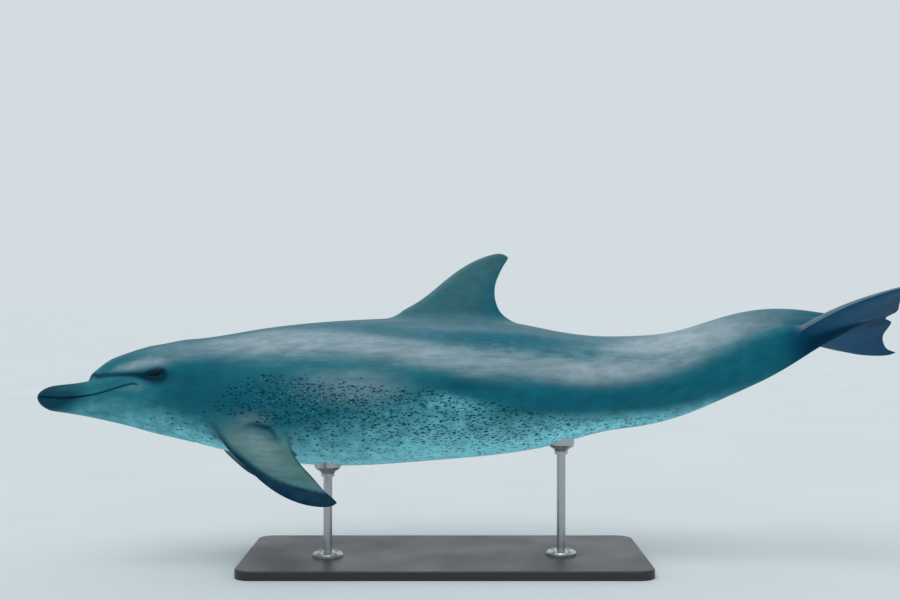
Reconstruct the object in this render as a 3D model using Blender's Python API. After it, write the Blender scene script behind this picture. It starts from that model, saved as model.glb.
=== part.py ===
"""Life-size model of an adult Indo-Pacific bottlenose dolphin, gliding, on a plain display stand.

The skin is one smooth tube that is swept along a bent spine. It is parted into the lengths that
a person would name, and the fins, the lower jaw and the stand are cut to fit it.

Frame: +Z up, head towards -X, the animal's left side towards -Y, the origin on the floor in the
middle of the stand's base. All lengths are in metres.

Places on the animal are given as (at, left, up): `at` runs along the spine from the beak's tip,
and `left` and `up` are measured from the spine, square to it.
"""
import math

import bmesh
import bpy
import numpy as np

# ------------------------------------------------------------------ driving dimensions
BODY_LENGTH = 2.33                       # beak tip to fluke notch, along the spine
MM = BODY_LENGTH / 2330                  # the tables are in mm on an animal of 2.33 m
BEAK_TIP = np.array([-1.095, -0.115, 0.464])
GAP = 0.0003                             # between pieces that touch
SIDES = 32                               # faces around the body

# Half width, height above and depth below the spine, and how square the section is above and
# below it (2 is an ellipse, more is boxier, less is ridged).
STATIONS = (
    # at   wide above below  square above, below
    (0,     24,  24,  32,   2.30, 2.20),   # tip of the beak
    (56,    30,  31,  41,   2.40, 2.20),   # middle of the beak
    (130,   42,  38,  56,   2.80, 2.20),   # crease between beak and melon
    (212,   66,  59,  79,   3.30, 2.20),   # cheek
    (302,   90,  90, 106,   2.40, 2.10),   # eye
    (365,  104, 132, 122,   2.20, 2.07),   # crown
    (427,  118, 148, 138,   2.05, 2.05),   # nape
    (588,  151, 175, 178,   2.00, 2.10),   # flippers
    (810,  181, 197, 202,   2.00, 2.10),   # chest
    (1060, 187, 199, 196,   2.00, 2.10),   # front of the dorsal fin
    (1310, 164, 176, 178,   1.95, 2.05),   # back of the dorsal fin
    (1420, 147, 151, 158,   1.90, 2.00),   # loin
    (1530, 127, 133, 133,   1.85, 1.95),   # navel
    (1644, 106, 123, 126,   1.80, 1.85),   # vent
    (1817,  75, 106, 113,   1.70, 1.70),   # tail stock
    (1982,  47,  98,  96,   1.55, 1.55),   # deepest part of the tail's keels
    (2068,  36,  81,  72,   1.55, 1.55),
    (2135,  29,  58,  48,   1.60, 1.60),   # front of the flukes
    (2200,  25,  32,  29,   1.80, 1.80),
    (2280,  20,  14,  13,   2.00, 2.00),   # end of the spine, inside the flukes
)
SPINE_END = 2280 * MM
# How the spine is bent: angles in degrees of its aft direction, and of the body's roll.
POSE = (
    # at  pitch   yaw  roll
    (0,     0.6,   8.0, 12),
    (200,   1.5,   8.0, 12),
    (430,   0.0,   8.0, 12),
    (650,  -0.3,   6.0, 12),
    (900,   1.5,   3.0, 11),
    (1200,  1.6,   0.0, 10),
    (1420,  2.1,  -2.0, 10),
    (1530,  3.9,  -3.2, 10),
    (1644,  8.9,  -4.5, 11),
    (1817, 20.4,  -7.0, 14),
    (1982, 16.2,  -8.0, 17),
    (2135, 12.4,  -6.0, 21),
    (2280,  8.1,  -5.0, 22.6),
)
# The melon, the round forehead over the beak: an ellipse that swells out of the section.
MELON = (
    # at  centre height  half height  half width
    (134,  43, 31,  29),
    (160,  45, 35,  41),
    (188,  48, 46,  50),
    (232,  52, 59,  64),
    (274,  55, 69,  76),
    (312,  57, 75,  86),
    (379,  59, 83, 100),
    (427,  59, 89, 108),
)
MELON_FRONT = 136 * MM
MELON_FADE = (380 * MM, 427 * MM)
MELON_BLEND_AT = (134, 235, 312, 400)    # where the melon welds to the head more and more softly
MELON_BLEND = (5, 9, 24, 20)             # radius of that weld
NOSE_ROUND = 45 * MM                     # length over which the beak's tip rounds off
TAIL_ROUND = 20 * MM

# Height of the mouth line over the spine, from the tip to the corner of the mouth.
MOUTH_LINE = ((-20, 1), (0, 0), (64, -7), (119, -5.5), (158, -1), (190, 6), (224, 14), (246, 18),
              (261, 18.5), (273, 15))
JAW_HINGE_AT = 330 * MM                  # where the jaw's back edge reaches the throat
JAW_REACH = 170 * MM                     # half width and depth of the block that frees the jaw

# Where the body is parted, front to back: (name, where it ends, rings along it).
LENGTHS = (
    ("head", 427, 14), ("neck", 560, 3), ("chest", 860, 5), ("abdomen", 1230, 6), ("loin", 1510, 5),
    ("tail_base", 1760, 6), ("tail_stock", 2020, 6), ("fluke_root", 2280, 6),
)
BEAK_END = 134 * MM                      # the crease in front of the melon

EYE_AT = 319 * MM
EYE_TURN = math.radians(66)              # from straight up, around the side of the head
EYE_RADIUS = 15 * MM
EYE_PROUD = 4 * MM                       # how far the eyeball stands out of the cheek
BLOWHOLE_AT = 303 * MM
BLOWHOLE_RADIUS = 15 * MM                # of the crescent's arc
BLOWHOLE_WIDTH = 7 * MM

# Edges of each fin in its own plane: (along the spine, out from it), tip last, in mm.
DORSAL = dict(
    leading=((930, 150), (970, 207), (1013, 235), (1065, 268), (1129, 319), (1192, 358),
             (1246, 377), (1275, 377), (1290, 367)),
    trailing=((1335, 150), (1282, 192), (1259, 218), (1249, 252), (1251, 289), (1262, 318),
              (1274, 341), (1284, 356), (1290, 367)),
    thickness=(52, 44, 34, 26, 19, 14, 10, 8, 5),
)
FLIPPER = dict(
    leading=((470, -45), (477, -2), (508, 54), (552, 103), (606, 158), (664, 201), (726, 226),
             (780, 231), (804, 220)),
    trailing=((650, -45), (654, 5), (675, 40), (688, 74), (711, 112), (741, 148), (769, 184),
              (789, 203), (804, 220)),
    thickness=(44, 38, 33, 28, 23, 18, 14, 10, 5),
)
FLUKE = dict(
    leading=((2060, 0), (2097, 58), (2134, 106), (2172, 148), (2210, 182), (2252, 213),
             (2305, 246), (2364, 266), (2397, 258)),
    trailing=((2326, 0), (2346, 36), (2345, 78), (2340, 119), (2344, 158), (2353, 192),
              (2367, 226), (2384, 246), (2397, 258)),
    thickness=(40, 33, 27, 22, 17, 13, 9, 7, 4),
)
FIN_SECTION_POINTS = 16
FLIPPER_SHOULDER = (110 * MM, -112 * MM)  # (left, up) of the root's middle
LEFT_SPLAY = math.radians(25)            # of the flippers, out from straight down
RIGHT_SPLAY = math.radians(60)
RIGHT_SWING = 0.38                       # how far the right one leans forward over its reach
FLUKE_HEIGHT = 2 * MM                    # of the flukes' plane over the spine
FLUKE_SLOPE = 0.010                      # how steeply each blade falls outwards
FLUKE_DROOP = 13 * MM                    # of its tip below that slope

BASE_SIZE = (1.10, 0.50, 0.025)          # length, width, thickness
BASE_CORNER = 0.045                      # radius of its corners seen from above
BASE_EDGE = 0.004                        # radius of its top edge
ROD_RADIUS = 0.012
ROD_PLACES = {"front": -0.32, "rear": 0.32}
FLANGE_RADIUS = 0.042
FLANGE_HEIGHT = 0.010
SADDLE_RADIUS = 0.036                    # of the cup under the belly
SADDLE_FOOT_RADIUS = 0.018
SADDLE_HEIGHT = 0.030                    # from its foot up to the belly's lowest point over it


# ------------------------------------------------------------------ smooth curves
def natural_cubic(x, y):
    """The smoothest curve through the points (x, y), as a function; straight beyond its ends."""
    x = np.asarray(x, float)
    y = np.asarray(y, float)
    step = np.diff(x)
    matrix = np.eye(len(x))
    rate = np.zeros(len(x))
    for i in range(1, len(x) - 1):
        matrix[i, i - 1:i + 2] = step[i - 1], 2 * (step[i - 1] + step[i]), step[i]
        rate[i] = 6 * ((y[i + 1] - y[i]) / step[i] - (y[i] - y[i - 1]) / step[i - 1])
    bend = np.linalg.solve(matrix, rate)
    first_slope = (y[1] - y[0]) / step[0] - step[0] * bend[1] / 6
    last_slope = (y[-1] - y[-2]) / step[-1] + step[-1] * bend[-2] / 6

    def value(t):
        t = np.asarray(t, float)
        i = np.clip(np.searchsorted(x, t) - 1, 0, len(x) - 2)
        past = t - x[i]
        left = x[i + 1] - t
        width = step[i]
        curve = (bend[i] * left ** 3 + bend[i + 1] * past ** 3) / (6 * width)
        curve = curve + (y[i] / width - bend[i] * width / 6) * left
        curve = curve + (y[i + 1] / width - bend[i + 1] * width / 6) * past
        curve = np.where(t < x[0], y[0] + first_slope * (t - x[0]), curve)
        return np.where(t > x[-1], y[-1] + last_slope * (t - x[-1]), curve)
    return value


def table_curves(table, scales):
    """One smooth curve over `at` for each column of a table, each column times its scale."""
    table = np.asarray(table, float)
    return [natural_cubic(table[:, 0] * MM, table[:, i + 1] * scale) for i, scale in enumerate(scales)]


half_width, height_above, depth_below, square_above, square_below = table_curves(
    STATIONS, (MM, MM, MM, 1, 1))
pitch, yaw, roll = table_curves(POSE, (math.pi / 180,) * 3)
melon_centre, melon_height, melon_width = table_curves(MELON, (MM,) * 3)
mouth_height = natural_cubic(*(np.asarray(MOUTH_LINE, float) * MM).T)


# ------------------------------------------------------------------ the spine and the skin
def aft_direction(at):
    at = np.minimum(at, SPINE_END)
    return np.stack([np.cos(pitch(at)) * np.cos(yaw(at)), np.cos(pitch(at)) * np.sin(yaw(at)),
                     np.sin(pitch(at))], -1)


SPINE_STEP = 0.004
spine_at = np.arange(-25, 700) * SPINE_STEP
spine_points = np.concatenate(
    [np.zeros((1, 3)), np.cumsum(aft_direction(spine_at[:-1] + SPINE_STEP / 2) * SPINE_STEP, 0)])
spine_points += BEAK_TIP - spine_points[25]


def posed(at, left, up):
    """World place of (at, left, up) on the posed animal."""
    at = np.asarray(at, float)
    centre = np.stack([np.interp(at, spine_at, spine_points[:, k]) for k in range(3)], -1)
    aft = aft_direction(at)
    level_left = np.cross(aft, (0, 0, 1.0))
    level_left /= np.linalg.norm(level_left, axis=-1, keepdims=True)
    level_up = np.cross(level_left, aft)
    turn = roll(np.minimum(at, SPINE_END))[..., None]
    to_left = level_left * np.cos(turn) + level_up * np.sin(turn)
    to_up = level_up * np.cos(turn) - level_left * np.sin(turn)
    return centre + to_left * np.asarray(left)[..., None] + to_up * np.asarray(up)[..., None]


def rounded(distance, length):
    """Rises from 0 to 1 over the length, as a quarter of an ellipse."""
    short = np.clip(1 - np.asarray(distance, float) / length, 0, 1)
    return np.sqrt(1 - short * short)


def melon_radius(at, sin_turn, cos_turn):
    """Distance from the spine to the melon's ellipse, in the direction of the turn."""
    swell = rounded(at - MELON_FRONT, 60 * MM)
    high = np.maximum(melon_height(at) * swell, MM)
    wide = melon_width(at) * (0.35 + 0.65 * swell)
    middle = melon_centre(at)
    a = (sin_turn / wide) ** 2 + (cos_turn / high) ** 2
    b = cos_turn * middle / high ** 2
    c = (middle / high) ** 2 - 1
    # A direction that passes the ellipse by gets a distance that soon falls inside the body.
    reach = b * b - a * c
    return (b + np.sign(reach) * np.sqrt(np.abs(reach))) / a


def skin_radius(at, turn):
    """Distance from the spine to the skin, in the direction `turn` from straight up."""
    at, turn = np.broadcast_arrays(np.asarray(at, float), np.asarray(turn, float))
    sin_turn = np.abs(np.sin(turn))
    cos_turn = np.cos(turn)
    high = np.where(cos_turn > 0, height_above(at), depth_below(at))
    power = np.where(cos_turn > 0, square_above(at), square_below(at))
    body = ((sin_turn / half_width(at)) ** power + (np.abs(cos_turn) / high) ** power) ** (-1 / power)
    body = body * rounded(at, NOSE_ROUND) * rounded(SPINE_END - at, TAIL_ROUND)
    on_head = (at > MELON_FRONT) & (at < MELON_FADE[1]) & (cos_turn > -0.2)
    head_at = np.clip(at, MELON_FRONT, MELON_FADE[1])
    melon = np.where(on_head, melon_radius(head_at, sin_turn, cos_turn), 0)
    blend = np.interp(at, np.array(MELON_BLEND_AT) * MM, np.array(MELON_BLEND) * MM)
    overlap = np.maximum(blend - np.abs(body - melon), 0) / blend
    rise = np.maximum(melon - body, 0) + overlap ** 2 * blend / 4
    return body + np.where(on_head, rise * np.interp(at, MELON_FADE, (1, 0)), 0)


def skin(at, turn, proud=0.0):
    """Points of the skin, or of a surface that stands proud of it."""
    radius = skin_radius(at, turn) + proud
    return posed(at, radius * np.sin(turn), radius * np.cos(turn))


# ------------------------------------------------------------------ meshes
def material(name, colour, roughness, metallic=0.0):
    """A plain Principled material; the colour is sRGB hex."""
    made = bpy.data.materials.get(name)
    if made:
        return made
    made = bpy.data.materials.new(name)
    made.use_nodes = True
    shader = made.node_tree.nodes["Principled BSDF"]
    channels = [int(colour[i:i + 2], 16) / 255 for i in (1, 3, 5)]
    linear = [c / 12.92 if c <= 0.04045 else ((c + 0.055) / 1.055) ** 2.4 for c in channels]
    shader.inputs["Base Color"].default_value = (*linear, 1)
    shader.inputs["Roughness"].default_value = roughness
    shader.inputs["Metallic"].default_value = metallic
    return made


def finish(name, mesh_data, finish_material=None):
    """Turn a bmesh into a named object with its faces pointing out."""
    bmesh.ops.recalc_face_normals(mesh_data, faces=mesh_data.faces)
    mesh = bpy.data.meshes.new(name)
    mesh_data.to_mesh(mesh)
    mesh_data.free()
    mesh.shade_smooth()
    mesh.set_sharp_from_angle(angle=math.radians(40))
    made = bpy.data.objects.new(name, mesh)
    bpy.context.scene.collection.objects.link(made)
    if finish_material:
        mesh.materials.append(finish_material)
    else:
        made.hide_render = True
        made.display_type = "WIRE"
    return made


def loft(name, rings, finish_material=None):
    """A closed solid through rings of points, with a flat cap on each end.

    Its sides are split into triangles here, so that pieces which touch are split alike.
    """
    built = bmesh.new()
    loops = [[built.verts.new(point) for point in ring] for ring in rings]
    for before, after in zip(loops, loops[1:]):
        for i in range(len(before)):
            j = (i + 1) % len(before)
            built.faces.new((before[i], before[j], after[j], after[i]))
    bmesh.ops.triangulate(built, faces=built.faces, quad_method="FIXED")
    built.faces.new(loops[0])
    built.faces.new(loops[-1][::-1])
    return finish(name, built, finish_material)


def cut(target, cutter, operation="DIFFERENCE"):
    boolean = target.modifiers.new("Fit to " + cutter.name, "BOOLEAN")
    boolean.operation = operation
    boolean.solver = "EXACT"
    boolean.object = cutter


def turned(name, profile, place, finish_material, sides=24):
    """A solid of revolution about a vertical axis: profile is a list of (radius, height)."""
    turns = np.arange(sides) * math.tau / sides
    rings = [np.stack([place[0] + r * np.cos(turns), place[1] + r * np.sin(turns),
                       np.full(sides, place[2] + z)], -1) for r, z in profile]
    return loft(name, rings, finish_material)


# ------------------------------------------------------------------ the body
def ring_places():
    """Where the body's rings lie: close together on the beak and melon, wider apart on the trunk."""
    nose = NOSE_ROUND * (1 - np.cos(np.radians((7, 20, 35, 52, 70, 90))))
    beak = np.linspace(NOSE_ROUND, BEAK_END, 5)[1:]
    places = [nose, beak]
    start = BEAK_END
    for name, end, count in LENGTHS:
        stop = min(end * MM, SPINE_END - TAIL_ROUND)
        share = np.arange(1, count + 1) / count
        crowding = 1.4 if name == "head" else 1
        places.append(start + (stop - start) * share ** crowding)
        start = stop
    places.append(SPINE_END - TAIL_ROUND * (1 - np.cos(np.radians((50, 25, 10)))))
    return np.concatenate(places)


def body_rings(start, end, proud=0.0):
    """The rings of the skin from start to end: its own places, and one at each cut end."""
    margin = 3 * MM
    first = [] if start <= 0 else [start]
    last = [] if end >= SPINE_END else [end]
    inside = [at for at in ring_places()
              if (at > start + margin or not first) and (at < end - margin or not last)]
    turns = np.arange(SIDES) * math.tau / SIDES
    return [skin(np.full(SIDES, at), turns, proud) for at in (*first, *inside, *last)]


def mouth_block(name, shift):
    """The space below the mouth line and in front of the jaw's hinge, moved out by the shift."""
    line = np.concatenate([[-20], np.linspace(0, 240, 9), [252, 263, 273]]) * MM
    hinge_lean = JAW_HINGE_AT / line[-1]
    rings = []
    for at in line:
        low_at = at * hinge_lean + shift
        high = mouth_height(at) + shift
        corners = ((at + shift, -JAW_REACH, high), (at + shift, JAW_REACH, high),
                   (low_at, JAW_REACH, -JAW_REACH), (low_at, -JAW_REACH, -JAW_REACH))
        rings.append([posed(*corner) for corner in corners])
    return loft(name, rings)


def body(skin_grey, pale_grey):
    """Every length of the body, with the lower jaw freed from the head and beak."""
    upper_block = mouth_block("cutter_upper_mouth", GAP / 2)
    lower_block = mouth_block("cutter_lower_mouth", -GAP / 2)
    beak = loft("beak_upper", body_rings(0, BEAK_END - GAP / 2), skin_grey)
    cut(beak, upper_block)
    jaw = loft("lower_jaw", body_rings(0, LENGTHS[0][1] * MM), pale_grey)
    cut(jaw, lower_block, "INTERSECT")
    start = BEAK_END
    made = {}
    for name, end, count in LENGTHS:
        made[name] = loft(name, body_rings(start + GAP / 2, end * MM - GAP / 2), skin_grey)
        start = end * MM
    cut(made["head"], upper_block)
    return made


# ------------------------------------------------------------------ eyes and blowhole
def ball(name, centre, radius, finish_material=None):
    built = bmesh.new()
    bmesh.ops.create_uvsphere(built, u_segments=14, v_segments=8, radius=radius)
    bmesh.ops.translate(built, verts=built.verts, vec=centre)
    return finish(name, built, finish_material)


def eyes(head, eye_black):
    """Two eyeballs, each in a socket of the head."""
    for side, name in ((1, "left"), (-1, "right")):
        turn = side * EYE_TURN
        on_skin = skin(EYE_AT, turn)
        along = skin(EYE_AT + MM, turn) - skin(EYE_AT - MM, turn)
        around = skin(EYE_AT, turn + 0.01) - skin(EYE_AT, turn - 0.01)
        outward = np.cross(around, along)
        outward *= np.sign(outward @ (on_skin - posed(EYE_AT, 0, 0))) / np.linalg.norm(outward)
        centre = on_skin + outward * (EYE_PROUD - EYE_RADIUS)
        ball("eye_" + name, centre, EYE_RADIUS, eye_black)
        cut(head, ball("cutter_socket_" + name, centre, EYE_RADIUS + GAP * 1.2))


def blowhole(head):
    """A crescent groove across the top of the head, with its horns pointing forward."""
    turns = np.linspace(-1.25, 1.25, 9)
    around = np.arange(8) * math.tau / 8
    rings = []
    for turn in turns:
        slim = BLOWHOLE_WIDTH / 2 * (0.35 + 0.65 * math.cos(turn) ** 0.5)
        at = BLOWHOLE_AT + BLOWHOLE_RADIUS * (math.cos(turn) - 1)
        left = BLOWHOLE_RADIUS * math.sin(turn)
        top = skin_radius(at, 0)
        spread = left + slim * np.cos(around) * math.sin(turn)
        rings.append(posed(at + slim * np.cos(around) * math.cos(turn), spread,
                           top - left ** 2 / top / 2 + slim * np.sin(around)))
    cut(head, loft("cutter_blowhole", rings))


# ------------------------------------------------------------------ fins
def foil(points):
    """Half of a fin's section: how thick it is (0 to 1) at each share of its chord, both ways."""
    turn = np.arange(points) * math.tau / points
    chord = (1 - np.cos(turn)) / 2
    thick = (2.969 * np.sqrt(chord) - 1.26 * chord - 3.516 * chord ** 2 + 2.843 * chord ** 3
             - 1.015 * chord ** 4)
    return chord, np.sign(np.sin(turn)) * np.maximum(thick, 0.04 * np.sin(turn) ** 2)


def fin_sections(edges, sections):
    """Rings of (along, out, thick) for a fin, from its root to its tip, in metres."""
    steps = np.linspace(0, 1, len(edges["thickness"]))
    leading = [natural_cubic(steps, column) for column in np.asarray(edges["leading"], float).T * MM]
    trailing = [natural_cubic(steps, column) for column in np.asarray(edges["trailing"], float).T * MM]
    thickness = natural_cubic(steps, np.asarray(edges["thickness"], float) * MM)
    chord, thick = foil(FIN_SECTION_POINTS)
    rings = []
    for t in sections:
        front = [curve(t) for curve in leading]
        back = [curve(t) for curve in trailing]
        along = front[0] + (back[0] - front[0]) * chord
        out = front[1] + (back[1] - front[1]) * chord
        rings.append((along, out, thick * thickness(t) / 2))
    return rings


FIN_STEPS = (0, 0.1, 0.2, 0.32, 0.45, 0.58, 0.71, 0.83, 0.92, 0.975)


def dorsal_fin(body_cutter, fin_grey):
    rings = [posed(along, thick, out) for along, out, thick in fin_sections(DORSAL, FIN_STEPS)]
    cut(loft("dorsal_fin", rings, fin_grey), body_cutter)


def flipper(name, side, splay, swing, body_cutter, fin_grey):
    """A flipper, hung from the shoulder: side is 1 for the left one and -1 for the right."""
    rings = []
    for along, out, thick in fin_sections(FLIPPER, FIN_STEPS):
        left = FLIPPER_SHOULDER[0] + out * math.sin(splay) + thick * math.cos(splay)
        up = FLIPPER_SHOULDER[1] - out * math.cos(splay) + thick * math.sin(splay)
        rings.append(posed(along - swing * out, side * left, up))
    cut(loft(name, rings, fin_grey), body_cutter)


def fluke(name, side, body_cutter, fin_grey):
    """One blade of the tail: the two meet at the middle, around the end of the spine."""
    span = FLUKE["leading"][-1][1] * MM
    rings = []
    for along, out, thick in fin_sections(FLUKE, FIN_STEPS):
        fall = FLUKE_SLOPE * out + FLUKE_DROOP * (out / span) ** 2
        rings.append(posed(along, side * (out + GAP), FLUKE_HEIGHT - fall + thick))
    cut(loft(name, rings, fin_grey), body_cutter)


# ------------------------------------------------------------------ the stand
def base_plate(lacquer):
    """The flat base: a plate with round corners and a softened top edge."""
    length, width, thick = BASE_SIZE
    built = bmesh.new()
    bmesh.ops.create_cube(built, size=1)
    bmesh.ops.scale(built, vec=BASE_SIZE, verts=built.verts)
    bmesh.ops.translate(built, vec=(0, 0, thick / 2), verts=built.verts)
    upright = [e for e in built.edges if abs(e.verts[0].co.z - e.verts[1].co.z) > thick / 2]
    bmesh.ops.bevel(built, geom=upright, offset=BASE_CORNER, segments=6, affect="EDGES", profile=0.5)
    top = [e for e in built.edges if min(v.co.z for v in e.verts) > thick - 1e-6]
    bmesh.ops.bevel(built, geom=top, offset=BASE_EDGE, segments=3, affect="EDGES", profile=0.5)
    return finish("stand_base", built, lacquer)


def flange(name, place, steel):
    """The round foot that clamps a rod: a ring with a bore, around the rod."""
    bore = ROD_RADIUS + GAP
    profile = ((bore, 0), (FLANGE_RADIUS, 0), (FLANGE_RADIUS, FLANGE_HEIGHT * 0.6),
               (FLANGE_RADIUS - FLANGE_HEIGHT * 0.4, FLANGE_HEIGHT),
               (bore, FLANGE_HEIGHT))
    sides = 24
    turns = np.arange(sides) * math.tau / sides
    built = bmesh.new()
    loops = [[built.verts.new((place[0] + r * math.cos(t), place[1] + r * math.sin(t), place[2] + z))
              for t in turns] for r, z in profile]
    for before, after in zip(loops, loops[1:] + loops[:1]):
        for i in range(sides):
            j = (i + 1) % sides
            built.faces.new((before[i], before[j], after[j], after[i]))
    return finish(name, built, steel)


def belly_under(x):
    """World place of the belly's lowest point over a place on the base."""
    at = np.linspace(0.3, 0.8, 501) * BODY_LENGTH
    line = posed(at, 0, -depth_below(at))
    nearest = np.abs(line[:, 0] - x).argmin()
    return line[nearest]


def support(name, x, body_cutter, steel):
    """One rod with the flange that holds it and the saddle that carries the belly."""
    belly = belly_under(x)
    floor = BASE_SIZE[2] + GAP
    foot = belly[2] - SADDLE_HEIGHT
    flange("stand_flange_" + name, (x, belly[1], floor), steel)
    turned("stand_rod_" + name, ((ROD_RADIUS, 0), (ROD_RADIUS, foot - GAP - floor)),
           (x, belly[1], floor), steel)
    profile = ((SADDLE_FOOT_RADIUS, 0), (SADDLE_FOOT_RADIUS, 0.008), (SADDLE_FOOT_RADIUS + 0.004, 0.014),
               (SADDLE_RADIUS - 0.004, 0.020), (SADDLE_RADIUS, 0.026), (SADDLE_RADIUS, 0.060))
    saddle = turned("stand_saddle_" + name, profile, (x, belly[1], foot), steel)
    cut(saddle, body_cutter)


# ------------------------------------------------------------------ the whole model
def main():
    for old in list(bpy.data.objects):
        bpy.data.objects.remove(old, do_unlink=True)
    skin_grey = material("grey skin", "#5B7B86", 0.45)
    pale_grey = material("pale throat skin", "#9DBCC0", 0.45)
    fin_grey = material("dark fin skin", "#3E5A66", 0.42)
    eye_black = material("eye", "#14181A", 0.08)
    lacquer = material("black satin lacquer", "#1B1C1E", 0.38)
    steel = material("brushed steel", "#9A9DA0", 0.32, 1.0)

    lengths = body(skin_grey, pale_grey)
    eyes(lengths["head"], eye_black)
    blowhole(lengths["head"])
    cutter_rings = body_rings(0, SPINE_END, GAP)
    cutter_rings.append(cutter_rings[-1] + aft_direction(SPINE_END) * GAP)
    body_cutter = loft("cutter_body", cutter_rings)
    dorsal_fin(body_cutter, fin_grey)
    flipper("flipper_left", 1, LEFT_SPLAY, 0, body_cutter, fin_grey)
    flipper("flipper_right", -1, RIGHT_SPLAY, RIGHT_SWING, body_cutter, fin_grey)
    fluke("fluke_left", 1, body_cutter, fin_grey)
    fluke("fluke_right", -1, body_cutter, fin_grey)
    base_plate(lacquer)
    for name, x in ROD_PLACES.items():
        support(name, x, body_cutter, steel)


main()
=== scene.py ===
"""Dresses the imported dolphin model: one skin over all its flesh, two eyes, and the display stand.

Places on the animal are (at, left, up): `at` runs along the spine from the beak's tip, `left` and
`up` are measured from the spine, square to it. `turn` is an angle around the spine, from straight
up towards the left side. Lengths are in metres; the tables are in mm on an animal of 2.33 m.
"""
import math

import bmesh
import bpy
import numpy as np
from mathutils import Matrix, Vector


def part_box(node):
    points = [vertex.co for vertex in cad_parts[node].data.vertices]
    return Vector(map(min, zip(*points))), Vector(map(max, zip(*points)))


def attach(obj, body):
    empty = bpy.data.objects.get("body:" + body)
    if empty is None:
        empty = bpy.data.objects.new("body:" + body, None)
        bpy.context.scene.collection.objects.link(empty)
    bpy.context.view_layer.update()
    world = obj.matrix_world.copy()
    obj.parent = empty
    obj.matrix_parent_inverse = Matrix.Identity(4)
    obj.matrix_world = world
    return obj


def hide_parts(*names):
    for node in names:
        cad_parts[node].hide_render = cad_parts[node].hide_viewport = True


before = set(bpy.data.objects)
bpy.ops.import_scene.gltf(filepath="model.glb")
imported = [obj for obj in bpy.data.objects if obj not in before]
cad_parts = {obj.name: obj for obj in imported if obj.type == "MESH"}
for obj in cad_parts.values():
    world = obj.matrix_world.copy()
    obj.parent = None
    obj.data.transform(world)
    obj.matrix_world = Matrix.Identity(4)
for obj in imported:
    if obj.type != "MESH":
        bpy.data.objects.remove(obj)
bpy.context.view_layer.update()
MM = 0.001

# ------------------------------------------------------------------ the animal's measurements
BEAK_TIP = np.array([-1.095, -0.115, 0.464])
STATIONS = (  # at, half width, height above, depth below, how square above and below
    (0, 24, 24, 32, 2.30, 2.20), (56, 30, 31, 41, 2.40, 2.20), (130, 42, 38, 56, 2.80, 2.20),
    (212, 66, 59, 79, 3.30, 2.20), (302, 90, 90, 106, 2.40, 2.10), (365, 104, 135, 122, 2.20, 2.07),
    (427, 118, 149, 138, 2.05, 2.05), (588, 151, 175, 178, 2.00, 2.10),
    (810, 181, 197, 202, 2.00, 2.10), (1060, 187, 199, 196, 2.00, 2.10),
    (1310, 164, 176, 178, 1.95, 2.05),
    (1420, 147, 151, 158, 1.90, 2.00), (1530, 127, 133, 133, 1.85, 1.95),
    (1644, 106, 123, 126, 1.80, 1.85), (1817, 75, 106, 113, 1.70, 1.70),
    (1982, 47, 98, 96, 1.55, 1.55), (2068, 36, 81, 72, 1.55, 1.55), (2135, 29, 58, 48, 1.60, 1.60),
    (2200, 25, 32, 29, 1.80, 1.80), (2280, 20, 14, 13, 2.00, 2.00),
)
SPINE_END = 2280 * MM
POSE = (  # at, and the pitch, yaw and roll of the spine in degrees
    (0, 0.6, 8.0, 12), (200, 1.5, 8.0, 12), (430, 0.0, 8.0, 12), (650, -0.3, 6.0, 12),
    (900, 1.5, 3.0, 11), (1200, 1.6, 0.0, 10), (1420, 2.1, -2.0, 10), (1530, 3.9, -3.2, 10),
    (1644, 8.9, -4.5, 11), (1817, 20.4, -7.0, 14), (1982, 16.2, -8.0, 17), (2135, 12.4, -6.0, 21),
    (2280, 8.1, -5.0, 22.6),
)
MELON = (  # at, height of its centre, half height, half width
    (134, 43, 31, 29), (160, 45, 35, 41), (188, 48, 46, 50), (232, 52, 59, 64), (274, 55, 69, 76),
    (312, 57, 75, 86), (379, 59, 83, 100), (427, 59, 89, 108),
)
MELON_FRONT = 136 * MM
MELON_SWELL = 60 * MM                    # over this length it reaches its full height
MELON_FADE = (335 * MM, 427 * MM)        # over this length it sinks into the neck
MELON_BLEND_AT = (134, 235, 312, 400)    # at in mm, and how softly it joins the head there
MELON_BLEND = (5, 9, 24, 20)
NOSE_ROUND = 45 * MM
MOUTH_LINE = ((-20, 0), (0, -1), (64, -8), (119, -7), (158, -3), (190, 3), (224, 11.5), (246, 16),
              (261, 17), (273, 13.5))
MOUTH_CORNER = 273 * MM
MOUTH_LEVEL_AT = 0.44                    # aft of here the line runs on level with the spine
EYE_AT = 319 * MM
EYE_TURN = math.radians(66)
EYE_RADIUS = 15 * MM
EYE_PROUD = 4 * MM
EYE_OPENING = (12.0 * MM, 6.2 * MM)      # half length and half height between the lids
EYE_DROP = 2.0 * MM                      # how far the opening lies below the eye's middle
EYE_TILT = -0.10                         # how much the opening rises aft
BLOWHOLE_AT = 303 * MM
BLOWHOLE_RADIUS = 15 * MM
DORSAL = dict(  # its edges in mm, as (at, up); each fin's thickness runs from root to tip
    leading=((930, 150), (970, 207), (1013, 235), (1065, 268), (1129, 319), (1192, 358),
             (1246, 377), (1275, 377), (1290, 367)),
    trailing=((1335, 150), (1282, 192), (1259, 218), (1249, 252), (1251, 289), (1262, 318),
              (1274, 341), (1284, 356), (1290, 367)),
    thickness=(52, 44, 34, 26, 19, 14, 10, 8, 5),
)
FLIPPER = dict(  # its edges as (at, out from the shoulder)
    leading=((470, -45), (477, -2), (508, 54), (552, 103), (606, 158), (664, 201), (726, 226),
             (780, 231), (804, 220)),
    trailing=((650, -45), (654, 5), (675, 40), (688, 74), (711, 112), (741, 148), (769, 184),
              (789, 203), (804, 220)),
    thickness=(44, 38, 33, 28, 23, 18, 14, 10, 5),
)
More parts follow.
